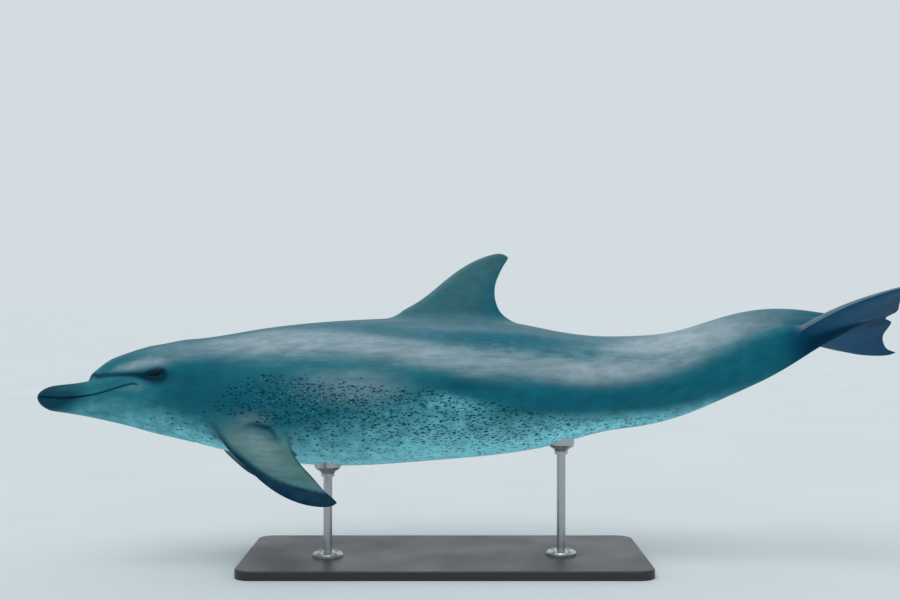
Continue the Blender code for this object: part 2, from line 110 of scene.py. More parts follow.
FLUKE = dict(  # its edges as (at, out from the spine)
    leading=((2060, 0), (2097, 58), (2134, 106), (2172, 148), (2210, 182), (2252, 213),
             (2305, 246), (2364, 266), (2397, 258)),
    trailing=((2326, 0), (2346, 36), (2345, 78), (2340, 119), (2344, 158), (2353, 192),
              (2367, 226), (2384, 246), (2397, 258)),
    thickness=(40, 33, 27, 22, 17, 13, 9, 7, 4),
)
FLIPPER_SHOULDER = (110 * MM, -112 * MM)  # (left, up) of the root's middle
LEFT_SPLAY = math.radians(25)            # of the flippers, out from straight down
RIGHT_SPLAY = math.radians(60)
RIGHT_SWING = 0.38                       # how far forward the right one lies for each metre out
FLUKE_HEIGHT = 2 * MM                    # of the flukes' plane over the spine
FLUKE_SLOPE = 0.010                      # how steeply each blade falls outwards
FLUKE_DROOP = 13 * MM                    # of its tip below that slope
FLUKE_REACH = 258 * MM
FLUKE_START = 2060 * MM                  # where their front edges leave the tail
NOTCH_AT = 2326 * MM                     # the notch between the flukes
FLESH_NODES = ("abdomen", "beak_upper", "chest", "dorsal_fin", "flipper_left", "flipper_right",
               "fluke_left", "fluke_right", "fluke_root", "head", "loin", "lower_jaw", "neck",
               "tail_base", "tail_stock")


# ------------------------------------------------------------------ smooth curves
def natural_cubic(x, y):
    """The smoothest curve through the points (x, y), as a function; straight beyond its ends."""
    x = np.asarray(x, float)
    y = np.asarray(y, float)
    step = np.diff(x)
    matrix = np.eye(len(x))
    rate = np.zeros(len(x))
    for i in range(1, len(x) - 1):
        matrix[i, i - 1:i + 2] = step[i - 1], 2 * (step[i - 1] + step[i]), step[i]
        rate[i] = 6 * ((y[i + 1] - y[i]) / step[i] - (y[i] - y[i - 1]) / step[i - 1])
    bend = np.linalg.solve(matrix, rate)
    first_slope = (y[1] - y[0]) / step[0] - step[0] * bend[1] / 6
    last_slope = (y[-1] - y[-2]) / step[-1] + step[-1] * bend[-2] / 6

    def value(t):
        t = np.asarray(t, float)
        i = np.clip(np.searchsorted(x, t) - 1, 0, len(x) - 2)
        past, left, width = t - x[i], x[i + 1] - t, step[i]
        curve = (bend[i] * left ** 3 + bend[i + 1] * past ** 3) / (6 * width)
        curve = curve + (y[i] / width - bend[i] * width / 6) * left
        curve = curve + (y[i + 1] / width - bend[i + 1] * width / 6) * past
        curve = np.where(t < x[0], y[0] + first_slope * (t - x[0]), curve)
        return np.where(t > x[-1], y[-1] + last_slope * (t - x[-1]), curve)
    return value


def table_curves(table, scales):
    """One smooth curve over `at` for each column of a table, each column times its scale."""
    table = np.asarray(table, float)
    return [natural_cubic(table[:, 0] * MM, table[:, i + 1] * scale) for i, scale in enumerate(scales)]


def smooth(value, low, high):
    """Rises from 0 to 1 between low and high, softly at both ends."""
    share = np.clip((np.asarray(value, float) - low) / (high - low), 0, 1)
    return share * share * (3 - 2 * share)


def bump(value, middle, width):
    """A round hill of height 1 at the middle."""
    return np.exp(-((np.asarray(value, float) - middle) / width) ** 2)


def rounded(distance, length):
    """Rises from 0 to 1 over the length, as a quarter of an ellipse."""
    short = np.clip(1 - np.asarray(distance, float) / length, 0, 1)
    return np.sqrt(1 - short * short)


half_width, height_above, depth_below, square_above, square_below = table_curves(
    STATIONS, (MM, MM, MM, 1, 1))
pitch, yaw, roll = table_curves(POSE, (math.pi / 180,) * 3)
melon_centre, melon_height, melon_width = table_curves(MELON, (MM,) * 3)
mouth_height = natural_cubic(*(np.asarray(MOUTH_LINE, float) * MM).T)


def unit(vectors):
    """The vectors, each made one long."""
    return vectors / np.linalg.norm(vectors, axis=-1, keepdims=True)


# ------------------------------------------------------------------ the spine and the skin's form
def aft_direction(at):
    """The spine's direction, towards the tail."""
    at = np.minimum(at, SPINE_END)
    return np.stack([np.cos(pitch(at)) * np.cos(yaw(at)), np.cos(pitch(at)) * np.sin(yaw(at)),
                     np.sin(pitch(at))], -1)


SPINE_STEP = 0.004
STEPS_AHEAD = 25                         # the table of the spine starts ahead of the beak
spine_at = np.arange(-STEPS_AHEAD, 700) * SPINE_STEP
spine_points = np.concatenate(
    [np.zeros((1, 3)), np.cumsum(aft_direction(spine_at[:-1] + SPINE_STEP / 2) * SPINE_STEP, 0)])
spine_points += BEAK_TIP - spine_points[STEPS_AHEAD]


def posed(at, left, up):
    """World place of (at, left, up) on the posed animal."""
    at = np.asarray(at, float)
    centre = np.stack([np.interp(at, spine_at, spine_points[:, k]) for k in range(3)], -1)
    aft = aft_direction(at)
    level_left = unit(np.cross(aft, (0, 0, 1.0)))
    level_up = np.cross(level_left, aft)
    turn = roll(np.minimum(at, SPINE_END))[..., None]
    to_left = level_left * np.cos(turn) + level_up * np.sin(turn)
    to_up = level_up * np.cos(turn) - level_left * np.sin(turn)
    return centre + to_left * np.asarray(left)[..., None] + to_up * np.asarray(up)[..., None]


def melon_radius(at, sin_turn, cos_turn):
    """Distance from the spine to the melon, an ellipse over the spine."""
    swell = rounded(at - MELON_FRONT, MELON_SWELL)
    high = np.maximum(melon_height(at) * swell, MM)
    wide = melon_width(at) * (0.35 + 0.65 * swell)
    middle = melon_centre(at)
    a = (sin_turn / wide) ** 2 + (cos_turn / high) ** 2
    b = cos_turn * middle / high ** 2
    c = (middle / high) ** 2 - 1
    # A direction that passes the ellipse by gets a distance that soon falls inside the body.
    reach = b * b - a * c
    return (b + np.sign(reach) * np.sqrt(np.abs(reach))) / a


def form_radius(at, turn):
    """Distance from the spine to the body's smooth form, in the direction of the turn."""
    at, turn = np.broadcast_arrays(np.asarray(at, float), np.asarray(turn, float))
    sin_turn, cos_turn = np.abs(np.sin(turn)), np.cos(turn)
    high = np.where(cos_turn > 0, height_above(at), depth_below(at))
    power = np.where(cos_turn > 0, square_above(at), square_below(at))
    body = ((sin_turn / half_width(at)) ** power + (np.abs(cos_turn) / high) ** power) ** (-1 / power)
    body = body * rounded(at, NOSE_ROUND)
    on_head = (at > MELON_FRONT) & (at < MELON_FADE[1]) & (cos_turn > -0.2)
    head_at = np.clip(at, MELON_FRONT, MELON_FADE[1])
    melon = np.where(on_head, melon_radius(head_at, sin_turn, cos_turn), 0)
    blend = np.interp(at, np.array(MELON_BLEND_AT) * MM, np.array(MELON_BLEND) * MM)
    overlap = np.maximum(blend - np.abs(body - melon), 0) / blend
    rise = np.maximum(melon - body, 0) + overlap ** 2 * blend / 4
    return body + np.where(on_head, rise * (1 - smooth(at, *MELON_FADE)), 0)


def turn_of_mouth():
    """The turn at which the mouth line lies on the skin, as a table over `at`."""
    at = np.linspace(0.001, MOUTH_CORNER, 137)
    low, high = np.full(at.shape, 0.6), np.full(at.shape, 2.4)
    for _ in range(40):
        middle = (low + high) / 2
        above = form_radius(at, middle) * np.cos(middle) > mouth_height(at)
        low, high = np.where(above, middle, low), np.where(above, high, middle)
    beyond = np.array([0.33, 0.38, MOUTH_LEVEL_AT])
    ahead = np.interp(beyond, (MOUTH_CORNER, MOUTH_LEVEL_AT), (middle[-1], math.pi / 2))
    return natural_cubic(np.concatenate([at[::8], beyond]), np.concatenate([middle[::8], ahead]))


mouth_turn_near = turn_of_mouth()


def mouth_turn(at):
    """The turn of the mouth line, and of the level line that carries on behind it."""
    return np.where(np.asarray(at) > MOUTH_LEVEL_AT, math.pi / 2, mouth_turn_near(at))


# ------------------------------------------------------------------ relief on the skin
CREASE_TURN = np.radians((0, 12, 30, 40, 51, 60, 65))
CREASE_AT = np.array((137, 139, 150, 163, 200, 250, 285)) * MM
CREASE_DEPTH = (2.2, 1.6, 0.8, 0)        # in mm, over the top, at the sides and by the eye
CREASE_DEPTH_TURN = np.radians((0, 40, 60, 66))
GROOVE = (3.2 * MM, 1.7 * MM)            # depth and half width of the mouth's groove
LIPS = (0.9 * MM, 5 * MM, 3.5 * MM)      # their height, how far from the groove, half width
CHEEK_SWELL = 2.0 * MM
NECK_FOLDS = ((452, 1.1), (492, 0.8))    # at and depth, in mm
THROAT_FLAT = 2.0 * MM
crease_at = natural_cubic(CREASE_TURN, CREASE_AT)


def beside_mouth(at, turn):
    """How far a place lies below the mouth line, along the skin."""
    return (np.abs(turn) - mouth_turn(at)) * form_radius(at, turn)


def beside_crease(at, turn):
    """How far a place lies behind the crease that runs around the melon's foot to the eye."""
    around = np.minimum(np.abs(turn), CREASE_TURN[-1])
    slope = (crease_at(around + 0.01) - crease_at(around - 0.01)) / 0.02 / form_radius(at, turn)
    return (at - crease_at(around)) / np.sqrt(1 + slope ** 2)


def relief(at, turn):
    """Height of the skin's folds over its smooth form."""
    around = np.abs(turn)
    below = beside_mouth(at, turn)
    open_mouth = smooth(at, 2 * MM, 12 * MM) * (1 - smooth(at, 262 * MM, 277 * MM))
    tall, beside, half = LIPS
    height = -GROOVE[0] * bump(below, 0, GROOVE[1]) * open_mouth
    height += tall * (bump(below, -beside, half) + bump(below, beside, half)) * open_mouth
    # The cheek swells behind the corner of the mouth.
    height += CHEEK_SWELL * bump(at, 283 * MM, 9 * MM) * bump(below, 1 * MM, 9 * MM)
    depth = np.interp(around, CREASE_DEPTH_TURN, CREASE_DEPTH) * MM
    height -= depth * bump(beside_crease(at, turn), -1 * MM, 3 * MM)
    for fold_at, fold_depth in NECK_FOLDS:
        lean = fold_at * MM + 0.03 * np.cos(around)
        height -= fold_depth * MM * bump(at, lean, 7 * MM) * smooth(around, 0.9, 1.5)
    # The throat is a little flatter between the jaws.
    height -= THROAT_FLAT * bump(at, 240 * MM, 60 * MM) * bump(around, math.pi, 0.5)
    return height


# ------------------------------------------------------------------ where the skin's points lie
COLUMNS = 160
CROWD_END = (340 * MM, 620 * MM)         # over this length the columns leave the mouth line
KEEL_START = 1850 * MM                   # from here to the tail they spread out on the keels
TAIL_START = 2046 * MM                   # from here the flukes grow out of the tail


def turn_at(at, column):
    """The turn of a column: 0 and 1 are the belly, 0.5 the back, 0.75 and 0.25 the mouth's sides.

    The columns crowd towards the mouth line on the head, and spread evenly along the keels.
    """
    side = np.where(column >= 0.5, 1.0, -1.0)
    share = np.abs(column - 0.5) * 4 - 1
    middle = mouth_turn(at)
    span = np.where(share < 0, middle, math.pi - middle)
    crowd = 0.45 + 0.55 * smooth(at, *CROWD_END)
    turn = middle + span * np.sign(share) * (crowd * np.abs(share) + (1 - crowd) * share ** 2)
    even = smooth(at, KEEL_START, TAIL_START)
    high = np.where(np.cos(turn) > 0, height_above(at), depth_below(at))
    power = 2 / square_above(at)
    along_form = np.arctan2(half_width(at) * np.abs(np.sin(turn)) ** power,
                            high * np.sign(np.cos(turn)) * np.abs(np.cos(turn)) ** power)
    return side * (turn + (along_form - turn) * even)


def on_skin(at, column):
    """(at, left, up) and the turn of a place on the skin."""
    at, column = np.broadcast_arrays(np.asarray(at, float), np.asarray(column, float))
    turn = turn_at(at, column)
    radius = form_radius(at, turn) + relief(at, turn)
    return at, radius * np.sin(turn), radius * np.cos(turn), turn


def ring_places():
    """Rings along the body: close together on the head, wider apart on the trunk."""
    nose = NOSE_ROUND * (1 - np.cos(np.radians(np.linspace(4, 90, 20))))
    beak = np.arange(48, 129, 3) * MM
    crease = np.arange(129, 160, 1.5) * MM
    head = np.arange(160, 430, 3) * MM
    trunk = [head[-1]]
    while trunk[-1] < TAIL_START:
        trunk.append(trunk[-1] + min(3 * MM + (trunk[-1] - head[-1]) * 0.1, 9 * MM))
    trunk = np.array(trunk)
    trunk = head[-1] + (trunk - head[-1]) * (TAIL_START - head[-1]) / (trunk[-1] - head[-1])
    return np.concatenate([nose, beak, crease, head, trunk[1:]])


def wing_thick(chord):
    """Half of a fin's thickness over its chord, where 1 is its thickest."""
    chord = np.clip(chord, 0, 1)
    thick = (2.969 * np.sqrt(chord) - 1.26 * chord - 3.516 * chord ** 2 + 2.843 * chord ** 3
             - 1.015 * chord ** 4)
    return np.maximum(np.where(chord < 1, thick - 0.021 * chord, 0), 0.16 * chord * (1 - chord))


class Fin:
    """A fin from its edges' tables: a span from root to tip, and a chord from front to back."""

    def __init__(self, edges, place):
        steps = np.linspace(0, 1, len(edges["thickness"]))
        self.front = [natural_cubic(steps, c) for c in np.asarray(edges["leading"], float).T * MM]
        self.back = [natural_cubic(steps, c) for c in np.asarray(edges["trailing"], float).T * MM]
        self.thickness = natural_cubic(steps, np.asarray(edges["thickness"], float) * MM)
        self.place = place

    def sheet(self, span, chord, side):
        """(at, left, up) of the fin's surface; side is 1 or -1 for its two faces."""
        front = [curve(span) for curve in self.front]
        back = [curve(span) for curve in self.back]
        along = front[0] + (back[0] - front[0]) * chord
        out = front[1] + (back[1] - front[1]) * chord
        length = np.hypot(back[0] - front[0], back[1] - front[1])
        thick = np.minimum(self.thickness(span), 0.4 * length) / 2 * wing_thick(chord) * side
        return self.place(along, out, thick)


def dorsal_place(along, out, thick):
    """The dorsal fin stands straight up from the spine."""
    return along, thick, out


def flipper_place(side, splay, swing):
    """A flipper hangs from its shoulder, splayed outwards and swung forward."""
    def place(along, out, thick):
        left = FLIPPER_SHOULDER[0] + out * math.sin(splay) + thick * math.cos(splay)
        up = FLIPPER_SHOULDER[1] - out * math.cos(splay) + thick * math.sin(splay)
        return along - swing * out, side * left, up
    return place


def fluke_place(side):
    """A fluke lies level, and droops towards its tip."""
    def place(along, out, thick):
        fall = FLUKE_SLOPE * out + FLUKE_DROOP * (out / FLUKE_REACH) ** 2
        return along, side * out, FLUKE_HEIGHT - fall + thick
    return place


# ------------------------------------------------------------------ collecting the skin's mesh
MARKS = ("along", "turn", "fin", "span", "chord", "blade")


class Flesh:
    """The points, marks and faces of the one skin.

    Its trunk and tail are a grid of point numbers, one row for each ring; holes are left in it.
    """

    def __init__(self):
        self.places, self.marks, self.faces, self.maps = [], [], [], []
        self.count = 0
        self.rings, self.grid, self.holes = None, None, []

    def add(self, at, left, up, **marks):
        """Adds points, and returns their numbers in the same shape."""
        at, left, up = np.broadcast_arrays(at, left, up)
        self.places.append(np.stack([at, left, up], -1).reshape(-1, 3))
        rows = [np.broadcast_to(marks.get(name, 0.0), at.shape).reshape(-1) for name in MARKS]
        self.marks.append(np.stack(rows, -1))
        numbers = self.count + np.arange(at.size).reshape(at.shape)
        self.count += at.size
        return numbers

    def strip(self, before, after, map_before, map_after):
        """Faces between two rows of points; each row has its own places on the flat map."""
        numbers = np.stack([before[:-1], before[1:], after[1:], after[:-1]], -1)
        places = np.stack([map_before[:-1], map_before[1:], map_after[1:], map_after[:-1]], 1)
        self.faces.append(numbers)
        self.maps.append(places)

    def band(self, before, after, map_before, map_after):
        """Faces all the way around, between two loops of points."""
        self.strip(closed(before), closed(after), closed(map_before), closed(map_after))

    def around_hole(self, rim):
        """Numbers, at, columns and flat places of the grid's points around a hole."""
        at, column = self.rings[rim[:, 0]], rim[:, 1] / COLUMNS
        return self.grid[rim[:, 0], rim[:, 1]], at, column, body_map(at, column)

    def fin_loop(self, place, code, span, chord, blade):
        """One loop of a fin's points, marked with where they lie on the fin."""
        return self.add(*place, along=place[0], turn=np.abs(np.arctan2(place[1], place[2])),
                        fin=code, span=span, chord=chord, blade=blade)


def closed(row):
    """A loop's row with its first point again at its end."""
    return np.concatenate([row, row[:1]])


def cells(table, i, j):
    """The four corners of a grid's cells."""
    return table[i, j], table[i, j + 1], table[i + 1, j + 1], table[i + 1, j]


MAP_LENGTH = 2.335                       # of the animal, over the width of the flat map


def body_map(at, column):
    """Places on the flat map: the trunk is laid out flat over its lower half."""
    at, column = np.broadcast_arrays(np.asarray(at, float), np.asarray(column, float))
    return np.stack([0.008 + 0.984 * at / MAP_LENGTH, 0.008 + 0.5 * column], -1)


FIN_MAPS = {  # corner and size of each fin's place on the flat map
    "dorsal": (0.008, 0.53, 0.33, 0.22), "fluke_left": (0.36, 0.53, 0.31, 0.22),
    "fluke_right": (0.69, 0.53, 0.302, 0.22), "flipper_left": (0.008, 0.77, 0.48, 0.222),
    "flipper_right": (0.51, 0.77, 0.482, 0.222),
}
FIN_CODES = {"dorsal": 1, "flipper": 2, "fluke": 3}
TIP_SPAN = 0.994                         # where a fin's last loop lies


def fin_map(name, across, step, steps):
    """Places on the flat map for one loop of a fin: across is 0 to 1 around the loop."""
    u, v, wide, high = FIN_MAPS[name]
    return np.stack([u + wide * across, np.full(len(across), v + high * step / steps)], -1)


def rim_of(front, back, first, second, open_back=False):
    """Grid places around a hole, from the middle of its back edge over column `first`."""
    step = 1 if first > second else -1
    middle = (first + second) // 2
    rim = [] if open_back else [(back, j) for j in range(middle, first, step)]
    rim += [(i, first) for i in range(back, front, -1)]
    rim += [(front, j) for j in range(first, second, -step)]
    rim += [(i, second) for i in range(front, back)]
    rim += [] if open_back else [(back, j) for j in range(second, middle, step)]
    return np.array(rim)


def loop_chords(length, width, open_back=False):
    """Chord and face of each point around a fin's loop that meets such a rim."""
    half = width // 2
    nose = 0.05 if open_back else 0.03
    tail = 0.0 if open_back else 0.03
    back = [] if open_back else list(1 - tail * (np.arange(half) / half) ** 2)
    side = list(np.linspace(1 - tail, nose, length, endpoint=False))
    front = list(nose * (1 - np.arange(half) / half) ** 2)
    half_loop = back + side + front
    chords = np.array(half_loop + [0.0] + half_loop[:0:-1])
    faces = np.array([1.0] * len(half_loop) + [-1.0] * (len(chords) - len(half_loop)))
    return chords, faces


def grow(flesh, name, rim_numbers, loops):
    """Faces of a fin: from its rim over its loops to its tip, which is zipped shut."""
    zip_height = 0.002                   # of the zipped faces on the flat map
    steps = len(loops)
    shares = np.linspace(0, 1, len(rim_numbers) + 1)
    rows = [rim_numbers] + loops
    for step, (before, after) in enumerate(zip(rows, rows[1:])):
        flesh.strip(closed(before), closed(after), fin_map(name, shares, step, steps),
                    fin_map(name, shares, step + 1, steps))
    last = rows[-1]
    half = len(last) // 2
    upper, lower = last[:half + 1], closed(last)[:half - 1:-1]
    ends = fin_map(name, shares, steps, steps)
    flesh.strip(upper, lower, ends[:half + 1], (ends + (0, zip_height))[:half + 1])


def blade_loops(flesh, fin, code, start, chords, faces, count, gain, blade):
    """Loops of a fin's own sheet, closer together towards its tip."""
    made = []
    for share in 1 - (1 - np.linspace(0, 1, count + 1)) ** gain:
        span = start + (TIP_SPAN - start) * share
        made.append(flesh.fin_loop(fin.sheet(span, chords, faces), code, span, chords,
                                   min(blade + share * 4, 1)))
    return made


# ------------------------------------------------------------------ the tail's end
TAIL_HALF = 20 * MM                      # half width and half thickness between the flukes
TAIL_SQUARE = 5                          # how square its section is there
TAIL_FLATTENS = (2185 * MM, 2308 * MM)   # over this length its height becomes the flukes'
TAIL_SQUARES = (2170 * MM, 2290 * MM)


def tail_halves(at):
    """Half width, height above and below, and squareness of the tail between the flukes."""
    wing = TAIL_HALF * wing_thick((at - FLUKE_START) / (NOTCH_AT - FLUKE_START))
    fade = smooth(at, *TAIL_FLATTENS)
    on_spine = np.minimum(at, SPINE_END)
    above = height_above(on_spine) * (1 - fade) + (FLUKE_HEIGHT + wing) * fade
    below = depth_below(on_spine) * (1 - fade) + (wing - FLUKE_HEIGHT) * fade
    power = square_above(on_spine)
    power = power + (TAIL_SQUARE - power) * smooth(at, *TAIL_SQUARES)
    return np.maximum(half_width(on_spine), TAIL_HALF), above, below, power


def on_tail(share, column):
    """(at, left, up, turn) on the tail's end: share 0 is where the flukes start, 1 the notch."""
    fluke = Fin(FLUKE, fluke_place(1))
    spans = np.linspace(0, 0.1, 60)
    edge_at, edge_out = fluke.back[0](spans), fluke.back[1](spans)
    angle = (column - 0.5) * math.tau
    end = np.interp(np.abs(TAIL_HALF * np.sin(angle)) * 0.9, edge_out, edge_at)
    at = TAIL_START + (end - TAIL_START) * share
    wide, above, below, power = tail_halves(at)
    left = wide * np.sign(np.sin(angle)) * np.abs(np.sin(angle)) ** (2 / power)
    tall = np.where(np.cos(angle) > 0, above, -below) * np.abs(np.cos(angle)) ** (2 / power)
    closing = smooth(share, 0.85, 1.0)
    up = tall * (1 - closing) + (FLUKE_HEIGHT + (tall - FLUKE_HEIGHT) * (share < 1)) * closing
    return at, left, up, angle


# ------------------------------------------------------------------ making the skin
TAIL_RINGS = 50
STRIP_HALF = COLUMNS // 8                # columns of the tail's back, on each side of the ridge


def leave_out(flesh, at_low, at_high, turn_low, turn_high, side):
    """Leaves a patch of the body's grid out, and gives the grid places around it.

    side is 1 or -1 for a patch on the left or right flank, and 0 for one across the back.
    """
    front = int(np.searchsorted(flesh.rings, at_low)) - 1
    back = int(np.searchsorted(flesh.rings, at_high))
    back += (back - front) % 2
    columns = np.arange(COLUMNS // 2, COLUMNS + 1) / COLUMNS
    turns = turn_at(np.full(columns.shape, (at_low + at_high) / 2), columns)
    upper = COLUMNS // 2 + max(int(np.searchsorted(turns, turn_low)) - 1, 0)
    lower = COLUMNS // 2 + int(np.searchsorted(turns, turn_high))
    lower += (lower - upper) % 2
    first, second = (upper, lower) if side else (lower, COLUMNS - lower)
    rim = rim_of(front, back, first, second)
    if side < 0:
        rim[:, 1] = COLUMNS - rim[:, 1]
        first, second = COLUMNS - first, COLUMNS - second
    flesh.holes.append((front, back, min(first, second), max(first, second)))
    return rim, back - front, abs(first - second)


DORSAL_WELD = 20 * MM
FLIPPER_WELD = 17 * MM
ROOT_SPANS = (-0.06, 0.7, 400)           # where a fin's meeting line with the body is sought
FILLET_WIDTH = 1.15                      # of the weld on the fin, over that on the body
PATCH_MARGIN = (14 * MM, 0.09)           # how far a fin's patch reaches beyond its weld
WELD_SHARES = (0.34, 0.67, 1.0)          # loops on the body, from the patch's rim to the weld
FILLET_SHARES = (0.14, 0.29, 0.44, 0.6, 0.78)   # loops that curve from the body into the fin
FIN_LOOPS = (34, 1.35)                   # how many loops from there to the tip, how they crowd
FILLET_BLADE = 0.6                       # how much of the fin's own colour the fillet takes


def weld_spread(chords):
    """The weld between a fin and the body is wider in front of and behind the fin."""
    return 1 + 0.9 * bump(chords, 0, 0.12) + 0.5 * bump(chords, 1, 0.1)


def root_outline(fin, chords, faces, spread):
    """Where a fin's sheet meets the body: the meeting line, the weld's outer line and its end."""
    spans = np.linspace(*ROOT_SPANS)[:, None]
    at, left, up = fin.sheet(spans, chords, faces)
    turn = np.arctan2(left, up)
    over = np.hypot(left, up) - form_radius(at, turn)
    inside = over < 0
    last = len(spans) - 1 - np.argmax(inside[::-1], axis=0)
    meet = np.empty(len(chords))
    for k, row in enumerate(last):
        a, b = over[row, k], over[min(row + 1, len(spans) - 1), k]
        meet[k] = spans[row, 0] + (spans[1, 0] - spans[0, 0]) * (a / (a - b) if a != b else 0)
    root = fin.sheet(meet, chords, faces)
    root_turn = np.unwrap(np.arctan2(root[1], root[2]))
    radius = form_radius(root[0], root_turn)
    flat = np.stack([root[0], root_turn * radius.mean()], -1)
    ahead = np.roll(flat, -2, 0) - np.roll(flat, 2, 0)
    normal = unit(np.stack([ahead[:, 1], -ahead[:, 0]], -1))
    normal *= np.sign(((flat - flat.mean(0)) * normal).sum(-1).mean())
    outer = flat + normal * spread[:, None]
    # The weld ends on the fin where it has gone as far out as it is wide.
    near = 0.02
    nearby = fin.sheet(meet + near, chords, faces)
    pace = np.linalg.norm(np.stack(nearby, -1) - np.stack(root, -1), axis=-1) / near
    end = meet + spread * FILLET_WIDTH / pace
    return meet, root, root_turn, outer[:, 0], outer[:, 1] / radius.mean(), end


def column_at(at, turn):
    """The column (0 to 1) that has this turn at this place."""
    columns = np.linspace(0, 1, 4 * COLUMNS + 1)
    at, turn = np.broadcast_arrays(at, turn)
    found = np.empty(at.shape)
    for place in np.ndindex(at.shape):
        turns = turn_at(np.full(columns.shape, at[place]), columns)
        found[place] = np.interp(turn[place], turns, columns)
    return found


def grow_fin(flesh, name, fin, weld, side):
    """A fin welded to the body: a patch of the grid is left out, and the fin grows from its rim."""
    # A first outline gives the patch; the second has as many points as the patch's rim.
    chords, faces = loop_chords(20, 10)
    _, _, _, out_at, out_turn, _ = root_outline(fin, chords, faces, weld * weld_spread(chords))
    turns = np.abs(out_turn) if side else np.array([0, np.abs(out_turn).max()])
    rim, length, width = leave_out(flesh, out_at.min() - PATCH_MARGIN[0],
                                   out_at.max() + PATCH_MARGIN[0], turns.min() - PATCH_MARGIN[1],
                                   turns.max() + PATCH_MARGIN[1], side)
    chords, faces = loop_chords(length, width)
    meet, root, turn, out_at, out_turn, end = root_outline(fin, chords, faces,
                                                           weld * weld_spread(chords))
    out_column = column_at(out_at, out_turn)
    before, rim_at, rim_column, before_map = flesh.around_hole(rim)
    for share in WELD_SHARES:
        at = rim_at + (out_at - rim_at) * share
        column = rim_column + (out_column - rim_column) * share
        place = on_skin(at, column)
        after = flesh.add(*place[:3], along=at, turn=np.abs(place[3]))
        after_map = body_map(at, column)
        flesh.band(before, after, before_map, after_map)
        before, before_map = after, after_map
    code = FIN_CODES[name.split("_")[0]]
    made = []
    end_place = fin.sheet(end, chords, faces)
    end_turn = np.unwrap(np.arctan2(end_place[1], end_place[2]))
    end_turn += np.round((turn - end_turn) / math.tau) * math.tau
    end_over = np.hypot(end_place[1], end_place[2]) - form_radius(end_place[0], end_turn)
    for share in FILLET_SHARES:
        # A curve from the weld's outer line over the meeting line to its end on the fin.
        a, b, c = (1 - share) ** 2, 2 * share * (1 - share), share ** 2
        at = a * out_at + b * root[0] + c * end_place[0]
        angle = a * out_turn + b * turn + c * end_turn
        radius = form_radius(at, angle) + relief(at, angle) * (1 - share) + c * end_over
        place = at, radius * np.sin(angle), radius * np.cos(angle)
        made.append(flesh.fin_loop(place, code, meet * share, chords, share * FILLET_BLADE))
    made += blade_loops(flesh, fin, code, end, chords, faces, *FIN_LOOPS, FILLET_BLADE)
    grow(flesh, name, before, made)


# ------------------------------------------------------------------ eyelids and blowhole
EYE_PATCH = (32 * MM, math.radians(14.5))
RIM_SHARES = (0.12, 0.25, 0.38, 0.5, 0.6, 0.69, 0.77, 0.84, 0.9, 0.95, 1.0)
LID_EDGE = 0.9 * MM                      # how far the lids' edges stand over the eyeball
LID_FOLD = (1.62, 0.9 * MM)              # how far out the fold around the lids lies, its depth
LID_WALL = ((0.97, 0.15), (0.945, 0.5), (0.93, 1.2), (0.925, 2.4), (0.92, 4.0))
BLOWHOLE_PATCH = (34 * MM, math.radians(15))
BLOWHOLE_ARC = math.radians(74)
BLOWHOLE_HALF = 3.0 * MM                 # half width of the crescent at its middle
BLOWHOLE_SHIFT = BLOWHOLE_RADIUS * 0.7   # of its arc's centre ahead of its own middle
BLOWHOLE_LIPS = 0.7 * MM
BLOWHOLE_WALL = ((0.86, 0.3), (0.7, 1.3), (0.55, 3.2), (0.5, 6.5))


def eye_centre():
    """(at, left, up) of the left eyeball's centre, and the direction in which the eye faces."""
    def form_point(at, turn):
        radius = float(form_radius(at, turn))
        return np.array([at, radius * math.sin(turn), radius * math.cos(turn)])
    along = form_point(EYE_AT + MM, EYE_TURN) - form_point(EYE_AT - MM, EYE_TURN)
    around = form_point(EYE_AT, EYE_TURN + 0.01) - form_point(EYE_AT, EYE_TURN - 0.01)
    outward = unit(np.cross(along, around))
    outward *= np.sign(outward[1])
    return form_point(EYE_AT, EYE_TURN) + outward * (EYE_PROUD - EYE_RADIUS), outward


def eye_outline(share, scale):
    """The edge between the lids: x is aft, y up, both from the eye's middle."""
    angle = share * math.tau
    x = EYE_OPENING[0] * scale * np.cos(angle)
    y = EYE_OPENING[1] * scale * np.sin(angle) * np.abs(np.sin(angle)) ** 0.3
    return x, y + EYE_TILT * x - EYE_DROP


def lids(x, y):
    """Height of the lids over the head: they follow the eyeball, and a fold runs around them."""
    flat_y = y - EYE_TILT * x + EYE_DROP
    away = np.hypot(x / EYE_OPENING[0], flat_y / EYE_OPENING[1])
    angle = np.arctan2(flat_y / EYE_OPENING[1], x / EYE_OPENING[0])
    edge_x, edge_y = eye_outline(angle / math.tau, 1)
    centre, _ = eye_centre()
    radius = float(form_radius(EYE_AT, EYE_TURN))
    turn = EYE_TURN - edge_y / radius
    direct = centre[1] * np.sin(turn) + centre[2] * np.cos(turn)
    beyond = centre[1] ** 2 + centre[2] ** 2 + (EYE_AT + edge_x - centre[0]) ** 2 - EYE_RADIUS ** 2
    ball = direct + np.sqrt(np.maximum(direct ** 2 - beyond, 0))
    edge = ball + LID_EDGE - form_radius(EYE_AT + edge_x, turn)
    fold = bump(away, LID_FOLD[0], 0.2) * (0.75 + 0.25 * np.sin(angle)) * LID_FOLD[1]
    return edge * (1 - smooth(away, 1.0, 2.4)) - fold


